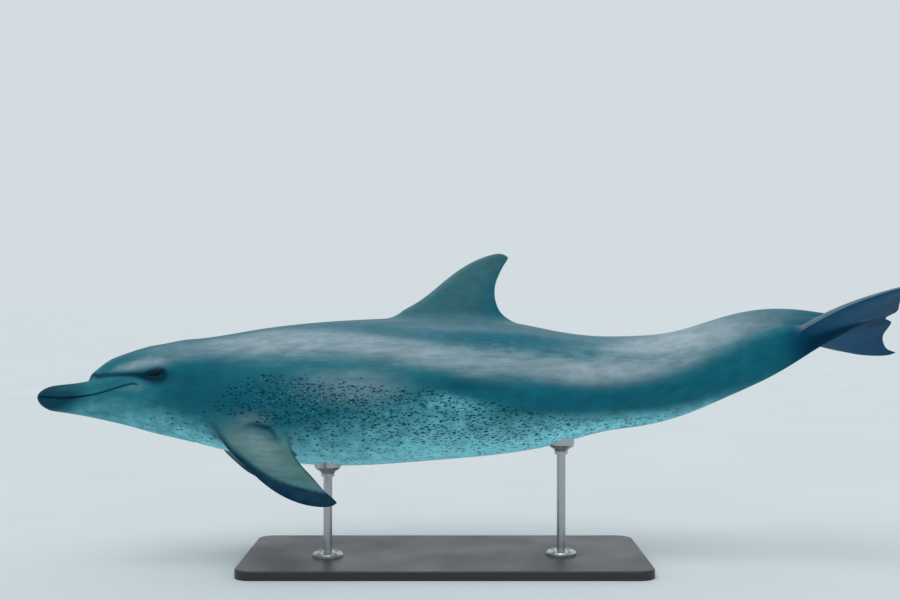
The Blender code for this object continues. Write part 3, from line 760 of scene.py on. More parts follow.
def blowhole_outline(share, scale):
    """A crescent across the top of the head, with its horns pointing forward: x is aft, y left."""
    quarter = share * 4
    swing = np.where(quarter < 1, quarter, np.where(quarter < 3, 2 - quarter, quarter - 4))
    outer = np.where((quarter < 1) | (quarter > 3), 1, -1)
    outer = np.where(np.abs(swing) > 1 - 1e-9, 0, outer)
    angle = BLOWHOLE_ARC * np.sin(swing * math.pi / 2)
    half = BLOWHOLE_HALF * scale * np.sqrt(np.maximum(1 - (angle / BLOWHOLE_ARC) ** 2, 0))
    reach = BLOWHOLE_RADIUS + half * outer
    return reach * np.cos(angle) - BLOWHOLE_SHIFT, reach * np.sin(angle)


def blowhole_lips(x, y):
    """Height of the low lips along the crescent."""
    from_arc = np.hypot(x + BLOWHOLE_SHIFT, y) - BLOWHOLE_RADIUS
    ahead = np.arctan2(np.abs(y), x + BLOWHOLE_SHIFT)
    return BLOWHOLE_LIPS * bump(from_arc, 0, 8 * MM) * (1 - smooth(ahead, 1.2, 2.2))


def open_skin(flesh, at, turn, half, side, outline, rise, wall):
    """An opening in the skin: loops close in on its outline, and a wall goes down from there.

    outline(share, scale) gives the opening's edge, and rise(x, y) the height of its lips.
    """
    rim, _, _ = leave_out(flesh, at - half[0], at + half[0], turn - half[1], turn + half[1], side)
    mirror = -1 if side < 0 else 1
    facing = -1 if side else 1
    radius = float(form_radius(at, turn))
    rim_numbers, rim_at, rim_column, rim_map = flesh.around_hole(rim)
    rim_x = rim_at - at
    rim_y = facing * (turn_at(rim_at, rim_column) * mirror - turn) * radius
    around = np.arange(len(rim)) / len(rim)
    edge = outline(around, 1)

    def row(x, y, height, map_x, map_y):
        spot_at, spot_turn = at + x, turn + facing * y / radius
        out = form_radius(spot_at, spot_turn) + relief(spot_at, spot_turn) + height
        numbers = flesh.add(spot_at, mirror * out * np.sin(spot_turn), out * np.cos(spot_turn),
                            along=spot_at, turn=np.abs(spot_turn))
        column = column_at(at + map_x, mirror * (turn + facing * map_y / radius))
        return numbers, body_map(at + map_x, column)

    rows = [(rim_numbers, rim_map)]
    for share in RIM_SHARES:
        x, y = rim_x + (edge[0] - rim_x) * share, rim_y + (edge[1] - rim_y) * share
        rows.append(row(x, y, rise(x, y), x, y))
    for step, (scale, drop) in enumerate(wall):
        x, y = outline(around, scale)
        flat = outline(around, 0.9 - 0.8 * step / len(wall))
        rows.append(row(x, y, rise(*edge) - drop * MM, *flat))
    for (before, before_map), (after, after_map) in zip(rows, rows[1:]):
        flesh.band(before, after, before_map, after_map)
    # The bottom is zipped shut, from the eye's corner or from the crescent's horn.
    start = 0 if side else -(len(rim) // 4)
    last, last_map = np.roll(rows[-1][0], start), np.roll(rows[-1][1], start, 0)
    middle = len(rim) // 2
    flesh.strip(last[:middle + 1], closed(last)[:middle - 1:-1], last_map[:middle + 1],
                closed(last_map)[:middle - 1:-1])


FLUKE_FIRST_SPAN = 0.115                 # of the blade's first own loop
FLUKE_SHARES = (0.09, 0.19, 0.3, 0.42, 0.55, 0.69, 0.84)   # loops from the tail up to it
FLUKE_LOOPS = (36, 1.3)


def grow_fluke(flesh, name, side):
    """A blade of the tail, grown from the open side of the tail's end."""
    start = len(flesh.rings) - 1
    last = start + TAIL_RINGS
    upper, lower = COLUMNS // 2 + STRIP_HALF, COLUMNS - STRIP_HALF
    rim = rim_of(start, last, upper, lower, open_back=True)
    if side < 0:
        rim[:, 1] = COLUMNS - rim[:, 1]
        upper, lower = COLUMNS - lower, COLUMNS - upper
    flesh.holes.append((start, last, upper, lower))
    fin = Fin(FLUKE, fluke_place(side))
    chords, faces = loop_chords(last - start, lower - upper, open_back=True)
    numbers = flesh.grid[rim[:, 0], rim[:, 1]]
    places = np.concatenate(flesh.places)[numbers]
    # Directions in which the tail's skin leaves the rim.
    column = rim[:, 1] / COLUMNS
    share = (rim[:, 0] - start) / (last - start)
    step = 0.004 * side * np.where(np.cos((column - 0.5) * math.tau) > 0, 1, -1)
    here = np.stack(on_tail(share, column)[:3], -1)
    there = np.stack(on_tail(share, column + step)[:3], -1)
    around = unit(there - here)
    flat = smooth(share, 0.6, 0.85)[:, None]
    around = around * (1 - flat) + np.array([0.1, side, -FLUKE_SLOPE]) * flat
    aft = np.array([1.0, 0.15 * side, 0.0])
    front = np.clip(1 - np.abs(np.arange(len(rim)) - len(rim) / 2) / ((lower - upper) / 2), 0, 1)
    front = (front > 0) * smooth(front, -0.4, 0.5)
    leaving = unit(around * (1 - front[:, None]) + aft * front[:, None])
    first_span = np.full(len(chords), FLUKE_FIRST_SPAN)
    target = np.stack(fin.sheet(first_span, chords, faces), -1)
    arriving = unit(np.stack(fin.sheet(first_span + 0.01, chords, faces), -1) - target)
    reach = np.linalg.norm(target - places, axis=-1, keepdims=True)
    made = []
    for s in FLUKE_SHARES:
        # A curve that leaves the tail and meets the blade in their own directions.
        place = ((2 * s ** 3 - 3 * s ** 2 + 1) * places + (s ** 3 - 2 * s ** 2 + s) * leaving * reach
                 + (3 * s ** 2 - 2 * s ** 3) * target + (s ** 3 - s ** 2) * arriving * reach)
        made.append(flesh.fin_loop(place.T, FIN_CODES["fluke"], FLUKE_FIRST_SPAN * s, chords, s))
    made += blade_loops(flesh, fin, FIN_CODES["fluke"], first_span, chords, faces, *FLUKE_LOOPS, 1)
    grow(flesh, name, numbers, made)


def build_skin():
    """The whole skin: trunk and tail in one grid, with the fins and openings set into it."""
    flesh = Flesh()
    flesh.rings = ring_places()
    columns = np.arange(COLUMNS) / COLUMNS
    at, left, up, turn = on_skin(flesh.rings[:, None], columns[None, :])
    body = flesh.add(at, left, up, along=at, turn=np.abs(turn))
    shares = np.arange(1, TAIL_RINGS + 1) / TAIL_RINGS
    at, left, up, turn = on_tail(shares[:, None], columns[None, :])
    tail = flesh.add(at, left, up, along=at, turn=np.abs(turn))
    # The last ring is the notch's edge: the upper and the lower side share its points.
    for d in range(-STRIP_HALF, STRIP_HALF + 1):
        lower = (COLUMNS - d) % COLUMNS
        tail[-1, lower] = tail[-1, COLUMNS // 2 + d]
    grid = np.concatenate([body, tail])
    grid = np.concatenate([grid, grid[:, :1]], 1)
    flesh.grid = grid
    grow_fin(flesh, "dorsal", Fin(DORSAL, dorsal_place), DORSAL_WELD, 0)
    for name, side, splay, swing in (("flipper_left", 1, LEFT_SPLAY, 0),
                                     ("flipper_right", -1, RIGHT_SPLAY, RIGHT_SWING)):
        fin = Fin(FLIPPER, flipper_place(side, splay, swing))
        grow_fin(flesh, name, fin, FLIPPER_WELD, side)
        open_skin(flesh, EYE_AT, EYE_TURN, EYE_PATCH, side, eye_outline, lids, LID_WALL)
    open_skin(flesh, BLOWHOLE_AT, 0, BLOWHOLE_PATCH, 0, blowhole_outline, blowhole_lips,
              BLOWHOLE_WALL)
    grow_fluke(flesh, "fluke_left", 1)
    grow_fluke(flesh, "fluke_right", -1)

    keep = np.ones((grid.shape[0] - 1, COLUMNS), bool)
    for front, back, low, high in flesh.holes:
        keep[front:back, low:high] = False
    ring_at = np.concatenate([flesh.rings, TAIL_START + (NOTCH_AT - TAIL_START) * shares])
    corner = body_map(ring_at[:, None], np.arange(COLUMNS + 1)[None, :] / COLUMNS)
    i, j = np.nonzero(keep)
    flesh.faces.append(np.stack(cells(grid, i, j), -1))
    flesh.maps.append(np.stack(cells(corner, i, j), 1))
    # The beak's tip is one point; its triangles have -1 for a fourth corner.
    tip = flesh.add(np.zeros(1), np.zeros(1), np.zeros(1), turn=1.5)
    tip_map = body_map(np.zeros(COLUMNS), (np.arange(COLUMNS) + 0.5) / COLUMNS)
    flesh.faces.append(np.stack([np.full(COLUMNS, tip[0]), grid[0, 1:], grid[0, :-1],
                                 np.full(COLUMNS, -1)], -1))
    flesh.maps.append(np.stack([tip_map, corner[0, 1:], corner[0, :-1], tip_map], 1))
    return flesh


# ------------------------------------------------------------------ where the markings lie
# The light band is partly a pale band in the skin and partly painted light from above on the upper
# flank and the top of the tail stock.
LIGHT_BAND = (  # at in mm, middle and half height as turns in degrees, strength
    (330, 44, 10, 0), (420, 35, 10, .2), (500, 37, 15, .5), (600, 42, 18, .85), (700, 45, 17, .75),
    (800, 49, 15, .75), (900, 56, 14, .75), (1000, 63, 13, .7), (1100, 69, 12, .75),
    (1200, 74, 13, .7), (1300, 75, 13, .65), (1400, 79, 14, .8), (1500, 82, 19, .95),
    (1600, 67, 38, .95), (1700, 54, 46, 1), (1800, 47, 50, 1), (1900, 40, 46, .8),
    (2000, 36, 40, .2), (2100, 30, 30, 0),
)
LIGHT_GAP = (  # a darker stripe within the light one
    (1430, 60, 6, 0), (1500, 64, 9, .45), (1600, 62, 10, .6), (1700, 67, 11, .4), (1800, 72, 12, .4),
    (1900, 78, 12, .3), (2000, 80, 12, 0),
)
# Painted shade, as of a groove below the back's muscles, along the flank from mid body to the tail;
# the mesh has no groove there.
GROOVE_SHADE_BAND = (
    (620, 72, 10, 0), (950, 86, 7, .1), (1030, 89, 7, .6), (1100, 92, 8, .9), (1150, 97, 8, 1),
    (1200, 102, 9, 1), (1300, 106, 12, 1), (1400, 110, 15, 1), (1500, 113, 16, 1),
    (1600, 117, 20, 1), (1700, 125, 26, 1), (1800, 134, 34, 1), (1900, 142, 46, 1),
    (2000, 138, 56, 1), (2100, 112, 74, 1), (2200, 90, 110, 1),
)
CAPE_EDGE = (
    (640, 26, 6, 0), (700, 27, 6, .3), (800, 33, 7, .45), (900, 38, 8, .6), (1000, 44, 8, .5),
    (1100, 49, 8, .65), (1200, 49, 9, .9), (1300, 47, 10, .95), (1400, 45, 10, .75),
    (1480, 39, 9, .35), (1560, 35, 9, 0),
)
# The cheek's own dark colour, which around the flipper's root also holds painted shade.
CHEEK = (
    (300, 78, 14, 0), (340, 92, 24, .7), (400, 92, 32, .9), (450, 92, 33, .85), (500, 98, 36, .75),
    (560, 100, 34, .6), (650, 106, 26, .55), (750, 106, 20, .35), (880, 108, 16, 0),
)
EYE_STRIPE = (  # the dark line from the melon's foot to the eye
    (136, 4, 9, 0), (142, 14, 8, .8), (163, 39, 5, .85), (200, 50, 4, .8), (250, 59, 4.5, .95),
    (290, 66, 7, 1), (335, 68, 7, .8), (352, 70, 6, 0),
)
BROW = ((196, 38, 5, 0), (220, 43, 6, .35), (258, 46, 6, .8), (300, 48, 6, .8), (370, 56, 6, 0))
# Painted shade along the melon's upper front.
MELON_SHADE = ((150, 22, 10, 0), (200, 32, 9, .55), (250, 30, 8, .45), (300, 26, 8, 0))
RIDGE_EDGE = (  # at in mm, turn of its edge, strength
    (140, 30, 0), (200, 26, .7), (330, 22, .8), (450, 20, .8), (600, 22, .8), (800, 28, .7),
    (1000, 34, .6), (1300, 34, .55), (1450, 30, .45), (1600, 22, .15), (1750, 20, 0),
    (1950, 26, .2), (2120, 60, .8), (2200, 90, 1),
)
BELLY_EDGE = (  # at in mm, the turns at which the pale belly begins and is full
    (80, 150, 185), (110, 120, 150), (150, 98, 135), (220, 96, 140), (300, 108, 146),
    (400, 122, 152), (500, 136, 168), (600, 134, 170), (700, 122, 176), (800, 116, 174),
    (900, 106, 172), (1000, 98, 168), (1100, 96, 160), (1200, 110, 160), (1300, 118, 158),
    (1400, 121, 152), (1500, 128, 156), (1600, 134, 160),
    (1700, 144, 170), (1800, 155, 182), (1900, 165, 192), (2000, 182, 205),
)
FLECK_TOP = (  # at in mm, turn of the upper edge of the flecks
    (180, 140), (330, 130), (450, 118), (520, 90), (600, 77), (700, 83), (800, 87), (900, 91),
    (1000, 94), (1100, 98), (1200, 106), (1300, 114), (1400, 123), (1500, 138), (1600, 149),
    (1750, 164),
)
BELLY_FADE = (  # at in mm, how strong the pale belly is
    (60, 0.1), (200, 0.26), (330, 0.38), (460, 0.6), (620, 1), (1450, 1), (1600, 0.75), (1750, 0.6),
)
FLECK_FADE = ((180, 0), (330, .3), (400, .45), (520, .55), (600, 1), (1400, 1), (1600, .7), (1750, 0))
SHOULDER_ARCH = ((505, 150), (530, 134), (575, 129), (620, 131), (655, 142), (690, 158))
FLIPPER_EDGE = (  # span, how much of the chord its dark edge takes in
    (0, 0.04), (0.28, 0.05), (0.42, 0.12), (0.52, 0.24), (0.61, 0.42), (0.7, 0.66), (0.78, 0.95),
    (0.86, 1.3),
)
# The spot at 2150 mm on top of the tail is a painted highlight on its ridge.
LIGHT_SPOTS = (  # strength, at in mm, turn, half length in mm, half height in degrees
    (.55, 575, 124, 50, 7), (.6, 2150, 12, 26, 26), (.4, 2085, 66, 34, 9), (.14, 262, 84, 34, 9),
)
DARK_SPOTS = ((.5, 236, 66, 60, 13), (.8, 410, 66, 90, 11))
# The spot in front of the flipper's root is painted shade of the hollow there; the one around the eye
# is the eye's dark patch.
INK_AND_SHADE_SPOTS = (  # around the eye, in front of the flipper's root, under the dorsal fin
    (.95, 319, 70, 33, 13), (.75, 516, 144, 40, 16), (.3, 1180, 93, 90, 7),
)
# The mouth's dark line is painted shade in its groove.
MOUTH_SHADE = 2.6                         # half width of the mouth's dark line, in mm


def from_table(at, rows):
    """The table's columns after its first, each read at these places."""
    table = np.asarray(rows, float).T
    return [np.interp(at, table[0], column) for column in table[1:]]


def stripe(at, turn, rows):
    """A band that runs along the body, from its table."""
    middle, half, strength = from_table(at, rows)
    return strength * np.exp(-np.abs((turn - middle) / half) ** 3)


def spot(at, turn, middle_at, middle_turn, long, tall):
    """A soft oval patch: half length in mm, half height in degrees."""
    return np.exp(-np.hypot((at - middle_at) / long, (turn - middle_turn) / tall) ** 3)


def spots(at, turn, rows):
    """All the spots of a table together."""
    return sum(strength * spot(at, turn, *oval) for strength, *oval in rows)


def paint_marks(places, marks):
    """How much of each finish lies at each point of the skin, from 0 to 1."""
    row = dict(zip(MARKS, marks.T))
    at, turn = row["along"] / MM, np.degrees(row["turn"])
    blade, span, chord = row["blade"], row["span"], row["chord"]
    flesh = 1 - blade
    dorsal, flipper, fluke = ((row["fin"] == code) * 1.0 for code in FIN_CODES.values())
    below_mouth = beside_mouth(row["along"], row["turn"]) / MM

    back = 1 - smooth(turn, 34, 78)
    back *= 0.12 + 0.88 * smooth(at, 160, 420)
    # The light mark is partly pale skin and partly painted light from above, in the band along the
    # upper flank.
    light = stripe(at, turn, LIGHT_BAND)
    light += 0.95 * stripe(at, turn, BROW)
    light *= 1 - stripe(at, turn, LIGHT_GAP)
    light += 0.42 * spot(at, turn, 840, 92, 150, 15) * (1 - light)
    light += spots(at, turn, LIGHT_SPOTS)
    # The dark mark holds painted shade along the flank's groove band and on the melon's upper front,
    # with the cape's edge, the cheek and dark spots.
    dark = stripe(at, turn, GROOVE_SHADE_BAND) + 0.9 * stripe(at, turn, CAPE_EDGE)
    dark += stripe(at, turn, CHEEK) + stripe(at, turn, MELON_SHADE) + spots(at, turn, DARK_SPOTS)
    # The top of the back is darker, above an edge that drops aft of the shoulder.
    edge, strength = from_table(at, RIDGE_EDGE)
    ridge = (1 - smooth(turn, edge - 7, edge + 7)) * strength
    start, full = from_table(at, BELLY_EDGE)
    belly = np.clip((turn - start) / (full - start), 0, 1) ** 1.1
    belly *= (at > 60) * from_table(at, BELLY_FADE)[0]
    belly = np.maximum(belly, 0.4 * spot(at, turn, 1130, 110, 110, 10))
    top = from_table(at, FLECK_TOP)[0]
    flecks = smooth(turn, top - 4, top + 7) * (1 - 0.62 * smooth(turn, top + 30, top + 58))
    flecks *= from_table(at, FLECK_FADE)[0] * (1 - 0.3 * (at < 460))
    # The darkest mark holds dark markings and painted shade together.
    ink_and_shade = stripe(at, turn, EYE_STRIPE) + 0.32 * stripe(at, turn, CHEEK) + spots(at, turn, INK_AND_SHADE_SPOTS)
    muzzle = 1 - smooth(at + 1.6 * np.maximum(below_mouth, 0), 84, 156)
    ink_and_shade += 0.8 * muzzle * (1 - 0.3 * spot(at, turn, 100, 55, 46, 30))
    # Painted shade in the mouth's groove: a dark line along it, fading at the corner.
    ink_and_shade += 0.9 * bump(below_mouth, 0, MOUTH_SHADE) * (1 - smooth(at, 264, 280))
    ink_and_shade += 0.3 * smooth(at, 1960, 2080) * smooth(turn, 60, 150)
    ink_and_shade += 0.5 * smooth(at, 2060, 2130) * smooth(turn, 82, 112)
    tail_dark = smooth(at, 2110, 2190) * smooth(turn, 8, 60)
    tail_dark = np.maximum(tail_dark, smooth(at, 2010, 2110) * smooth(turn, 76, 100))
    # A short dark line on the belly's middle is painted shade of a slit that the mesh doesn't have.
    ink_and_shade += 0.5 * bump(turn, 180, 2.2) * spot(at, 0, 1618, 0, 36, 1)
    # Painted shade in the crease over the flipper's root: a thin dark line along its arch.
    arch = from_table(at, SHOULDER_ARCH)[0]
    ink_and_shade += bump(turn, arch, 2.4) * ((at > 500) & (at < 695))

    # The flipper's dark edge widens along its front until it takes in the whole tip.
    edge = from_table(span, FLIPPER_EDGE)[0]
    fin_dark = flipper * (1 - smooth(chord, edge * 0.5, edge * 1.5 + 0.03)) * 0.5
    fin_ink = flipper * smooth(edge - chord, -0.06, 0.07) * 0.95
    fin_ink += flipper * smooth(chord, 0.93, 0.985) * 0.6
    fin_dark += dorsal * (0.4 + 0.35 * smooth(chord, 0.6, 1.0) + 0.25 * (1 - smooth(span, 0.1, 0.5)))
    fin_light = dorsal * (1 - smooth(chord, 0.03, 0.15)) * 0.35
    fin_light += flipper * 0.3 * spot(100 * span, 100 * chord, 28, 50, 20, 26)
    # A thin pale line along each fluke's front edge is a painted highlight, as of light from above on
    # the rim.
    fin_light += fluke * (1 - smooth(chord, 0.012, 0.035)) * smooth(span, 0.04, 0.12) * 0.8
    shares = {
        "back": back * flesh,
        "ridge": ridge * flesh,
        "light": light * flesh * (1 - 0.8 * smooth(at, 2120, 2190)) + fin_light * blade,
        "dark": dark * flesh + fin_dark * blade,
        "flukes": tail_dark * flesh + fluke * (1 - 0.8 * fin_light) * blade,
        "belly": belly * (1 - dorsal) * flesh * (1 - smooth(ink_and_shade, 0.2, 0.9)),
        "flecks": flecks * flesh ** 3,
        "ink_and_shade": np.maximum(ink_and_shade * flesh, (fin_ink + 0.4 * fluke * smooth(chord, 0.5, 1)) * blade),
        "fins": (dorsal + flipper) * blade,
        "worn": smooth(at, 380, 600) * (1 - smooth(turn, 58, 84)) * flesh,
    }
    return {"place": places} | {mark: np.clip(share, 0, 1) for mark, share in shares.items()}


# ------------------------------------------------------------------ meshes and objects
def in_scene(name, data):
    """A new object, put into the scene."""
    made = bpy.data.objects.new(name, data)
    bpy.context.scene.collection.objects.link(made)
    return made


def smooth_mesh(name, places, faces, uvs, marks):
    """A posed mesh with its flat map and marks, its faces turned outwards, no loose points."""
    mesh = bpy.data.meshes.new(name)
    mesh.from_pydata(posed(*places.T).tolist(), [], faces)
    mesh.uv_layers.new(name="OFBake").data.foreach_set("uv", np.array(uvs).ravel())
    for mark, values in marks.items():
        kind, field = ("FLOAT_VECTOR", "vector") if values.ndim > 1 else ("FLOAT", "value")
        attribute = mesh.attributes.new(mark, kind, "POINT")
        attribute.data.foreach_set(field, values.astype(np.float32).ravel())
    built = bmesh.new()
    built.from_mesh(mesh)
    loose = [v for v in built.verts if not v.link_faces]
    bmesh.ops.delete(built, geom=loose, context="VERTS")
    bmesh.ops.recalc_face_normals(built, faces=built.faces)
    built.to_mesh(mesh)
    built.free()
    mesh.shade_smooth()
    return mesh


def skin_mesh(name, flesh):
    """The skin's mesh; a face whose corners fall together keeps the ones that differ."""
    places = np.concatenate(flesh.places)
    lists, uvs = [], []
    for face, uv in zip(np.concatenate(flesh.faces).tolist(), np.concatenate(flesh.maps).tolist()):
        used = [k for k, number in enumerate(face) if number >= 0 and number not in face[:k]]
        if len(used) > 2:
            lists.append([face[k] for k in used])
            uvs.extend(uv[k] for k in used)
    marks = paint_marks(places, np.concatenate(flesh.marks))
    return smooth_mesh(name, places, lists, uvs, marks)


# ------------------------------------------------------------------ finishes
def colour(code):
    """Linear colour of an sRGB hex value."""
    parts = [int(code[k:k + 2], 16) / 255 for k in (0, 2, 4)]
    return tuple(c / 12.92 if c <= 0.04045 else ((c + 0.055) / 1.055) ** 2.4 for c in parts) + (1,)


def add(tree, kind, inputs, out=0, **settings):
    """Adds a node with its settings; each input is a value or another node's output."""
    made = tree.nodes.new(kind)
    for name, value in settings.items():
        setattr(made, name, value)
    for socket, value in inputs.items():
        if isinstance(value, bpy.types.NodeSocket):
            tree.links.new(value, made.inputs[socket])
        else:
            made.inputs[socket].default_value = value
    return made.outputs[out]


class Finish:
    """A material in the making: each method adds nodes and gives their output."""

    def __init__(self, name):
        self.material = bpy.data.materials.new(name)
        self.material.use_nodes = True
        self.tree = self.material.node_tree
        self.tree.nodes.clear()

    def mark(self, name, out=2):
        """A mark of the mesh; 2 gives it as a number, 1 as a vector."""
        return add(self.tree, "ShaderNodeAttribute", {}, out, attribute_name=name)

    def own_place(self):
        """The place in the object's own frame."""
        return add(self.tree, "ShaderNodeTexCoord", {}, 3)

    def maths(self, operation, *values, clamp=False):
        """The result of one sum; clamp keeps it between 0 and 1."""
        return add(self.tree, "ShaderNodeMath", dict(enumerate(values)), operation=operation,
                   use_clamp=clamp)

    def product(self, *values):
        """All the values multiplied together, in turn."""
        result = values[0]
        for value in values[1:]:
            result = self.maths("MULTIPLY", result, value)
        return result

    def vector(self, operation, first, second):
        return add(self.tree, "ShaderNodeVectorMath", {0: first, 1: second}, operation=operation)

    def length(self, vector):
        return add(self.tree, "ShaderNodeVectorMath", {0: vector}, 1, operation="LENGTH")

    def moved(self, value, low, high, to_low=0.0, to_high=1.0):
        """The value, brought from one range to another and kept within it."""
        return add(self.tree, "ShaderNodeMapRange",
                   {0: value, 1: low, 2: high, 3: to_low, 4: to_high})

    def mix(self, share, first, second):
        """Two colours, by the share of the second one."""
        return add(self.tree, "ShaderNodeMix", {0: share, 6: first, 7: second}, 2,
                   data_type="RGBA")

    def noise(self, place, scale=1.0, detail=2.0, rough=0.5):
        return add(self.tree, "ShaderNodeTexNoise",
                   {"Vector": place, "Scale": scale, "Detail": detail, "Roughness": rough})

    def uneven(self, height, strength, distance):
        """A normal that follows this height, given in parts of the distance."""
        return add(self.tree, "ShaderNodeBump",
                   {"Height": height, "Strength": strength, "Distance": distance})

    def done(self, **inputs):
        """Adds the shader and the output, and gives the material."""
        names = {key.replace("_", " ").title().replace("Ior", "IOR"): value
                 for key, value in inputs.items()}
        shader = add(self.tree, "ShaderNodeBsdfPrincipled", names)
        output = self.tree.nodes.new("ShaderNodeOutputMaterial")
        self.tree.links.new(shader, output.inputs["Surface"])
        return self.material


FLANK = colour("226672")
# The light layer carries painted light from above and painted highlights besides pale skin; the dark
# layer carries painted shade besides dark markings.
SKIN_LAYERS = (  # mark, its colour, the noise that breaks its edge, how much
    ("back", colour("577781"), "streaks", 0.5), ("fins", colour("486C6C"), "mottle", 0.3),
    ("light", colour("8A9AA2"), "streaks", 0.3), ("belly", colour("84D6E2"), "mottle", 0.35),
    ("ridge", colour("3A606C"), "streaks", 0.6), ("dark", colour("105B6C"), "streaks", 0.6),
    ("flukes", colour("013D5C"), "streaks", 0.3),
)
FLECK = colour("052F42")
# Light flecks are painted glints, as off the skin's small ripples.
FLECK_GLINT = colour("74A9B3")
FLECK_LAYERS = (  # cells in a metre, largest radius in a cell, density they show from, colour
    ((88, 200, 200), 0.52, 0.0, FLECK), ((58, 138, 138), 0.45, 0.03, FLECK),
    ((90, 185, 185), 0.26, 0.80, FLECK_GLINT),
)
# The darkest colour, for dark markings and for painted shade in the mouth's line, creases and hollows.
INK_AND_SHADE = colour("002338")
RAKE = colour("9FB6BE")


def skin_paint():
    """Urethane rubber cast from a mould and airbrushed by hand, under a satin clear lacquer.

    Soft edges from the airbrush, flecks from a fine brush, and a low, even sheen.
    """
    paint = Finish("satin_lacquered_airbrushed_urethane")
    place = paint.mark("place", 1)

    def field(stretch, detail, rough=0.55):
        """Noise whose grains are 1/stretch metres long, wide and high."""
        return paint.noise(paint.vector("MULTIPLY", place, stretch), 1.0, detail, rough)

    noises = {
        "streaks": field((9, 75, 75), 6, 0.58),      # 110 mm long, 13 mm high
        "mottle": field((26, 34, 34), 5, 0.6),       # about 30 mm
        "fine": field((120, 210, 210), 3),           # about 6 mm, as fine as shows
    }
    shade = FLANK
    for mark, own_colour, noise, rough in SKIN_LAYERS:
        share = paint.mark(mark)
        # The noise moves the edge where the share is between 0 and 1, and leaves bare skin bare.
        edge = paint.product(share, paint.maths("SUBTRACT", 1.0, share))
        swing = paint.product(paint.maths("SUBTRACT", noises[noise], 0.5), rough * 8)
        share = paint.maths("MULTIPLY_ADD", swing, edge, share, clamp=True)
        shade = paint.mix(share, shade, own_colour)
    # Uneven depth of colour, from the mottling and the streaks together.
    both = paint.maths("ADD", noises["streaks"], noises["mottle"])
    depth = paint.moved(both, 0.7, 1.3, 0.82, 1.18)
    shade = add(paint.tree, "ShaderNodeVectorMath", {0: shade, "Scale": depth}, operation="SCALE")

    # Rake marks and scratches: hair-thin lines, drawn 3 mm wide so that they show.
    lines = paint.moved(field((2.5, 190, 190), 2), 0.54, 0.68)
    patches = paint.moved(field((5, 8, 8), 2), 0.42, 0.62, 0.0, 0.15)
    shade = paint.mix(paint.product(lines, patches, paint.mark("worn")), shade, RAKE)

    # Flecks: brushed spots of two sizes, longer along the body, and a few light ones that are painted
    # glints, as off small ripples in the skin.
    density = paint.mark("flecks")
    for stretch, size, few, own_colour in FLECK_LAYERS:
        shifted = paint.vector("ADD", place, (few, few, 0))
        distance = add(paint.tree, "ShaderNodeTexVoronoi",
                       {"Vector": paint.vector("MULTIPLY", shifted, stretch), "Scale": 1.0},
                       "Distance")
        cell = add(paint.tree, "ShaderNodeSeparateColor", {0: distance.node.outputs["Color"]})
        dice = cell.node.outputs
        radius = paint.moved(dice[0], 0.0, 1.0, size * 0.5, size)
        inner = paint.maths("SUBTRACT", radius, 0.09)
        shape = paint.moved(distance, inner, radius, 1.0, 0.0)
        shown = paint.maths("GREATER_THAN", density, paint.moved(dice[1], 0.0, 1.0, few, 0.97))
        strength = paint.moved(dice[2], 0.0, 1.0, 0.5, 0.95)
        shade = paint.mix(paint.product(shape, shown, strength), shade, own_colour)

    # The darkest places go on last: dark markings around the eye, on the muzzle and the flukes, and
    # painted shade in the mouth's line, the crease over the flipper's root, the belly's slit and the
    # hollow ahead of the flipper.
    soft = paint.moved(noises["mottle"], 0.3, 0.7, 0.82, 1.06)
    ink_and_shade = paint.maths("MULTIPLY", paint.mark("ink_and_shade"), soft, clamp=True)
    shade = paint.mix(ink_and_shade, shade, INK_AND_SHADE)
    ripple = paint.maths("MULTIPLY_ADD", noises["streaks"], 0.35, noises["fine"])
    return paint.done(base_color=shade, roughness=paint.moved(noises["mottle"], 0.3, 0.7, 0.40, 0.54),
                      normal=paint.uneven(ripple, 0.3, 0.0012), ior=1.46, specular_ior_level=0.04)


def eye_glass():
    """Acrylic eye: a painted iris under a clear polished dome, nearly black all over."""
    glass = Finish("polished_acrylic_eye")
    gaze = glass.mark("gaze", 1)
    fibres = glass.noise(gaze, 9.0, 5.0, 0.7)
    # The pupil is a flat oval: its height in the gaze is nearly doubled before it is measured.
    across = glass.length(glass.vector("MULTIPLY", gaze, (1.0, 1.9, 0.0)))
    pupil = glass.moved(across, 0.36, 0.42, 1.0, 0.0)
    from_middle = glass.length(glass.vector("MULTIPLY", gaze, (1.0, 1.0, 0.0)))
    white = glass.moved(from_middle, 0.68, 0.80)
    eye = glass.mix(fibres, colour("040506"), colour("0B0C10"))
    eye = glass.mix(white, eye, colour("0C1014"))
    eye = glass.mix(pupil, eye, colour("05070B"))
    rough = glass.moved(fibres, 0.0, 1.0, 0.04, 0.10)
    return glass.done(base_color=eye, roughness=rough, ior=1.49, specular_ior_level=0.08,
                      coat_weight=0.03, coat_roughness=0.03)


def base_lacquer():
    """Black lacquer sprayed on a fibreboard base: satin, faint orange peel, dusted paler."""
    coat = Finish("black_sprayed_satin_lacquer")
    place = coat.own_place()
    cloud = coat.noise(place, 5.0, 4.0)
    peel = coat.noise(place, 420.0, 2.0)
    dust = coat.moved(coat.noise(place, 60.0, 8.0, 0.8), 0.55, 0.8, 0.0, 0.35)
    body = coat.mix(cloud, colour("141517"), colour("222427"))
    body = coat.mix(dust, body, colour("4A4C4E"))
    rough = coat.moved(cloud, 0.3, 0.7, 0.34, 0.5)
    return coat.done(base_color=body, roughness=rough, normal=coat.uneven(peel, 0.15, 0.0004), ior=1.5)


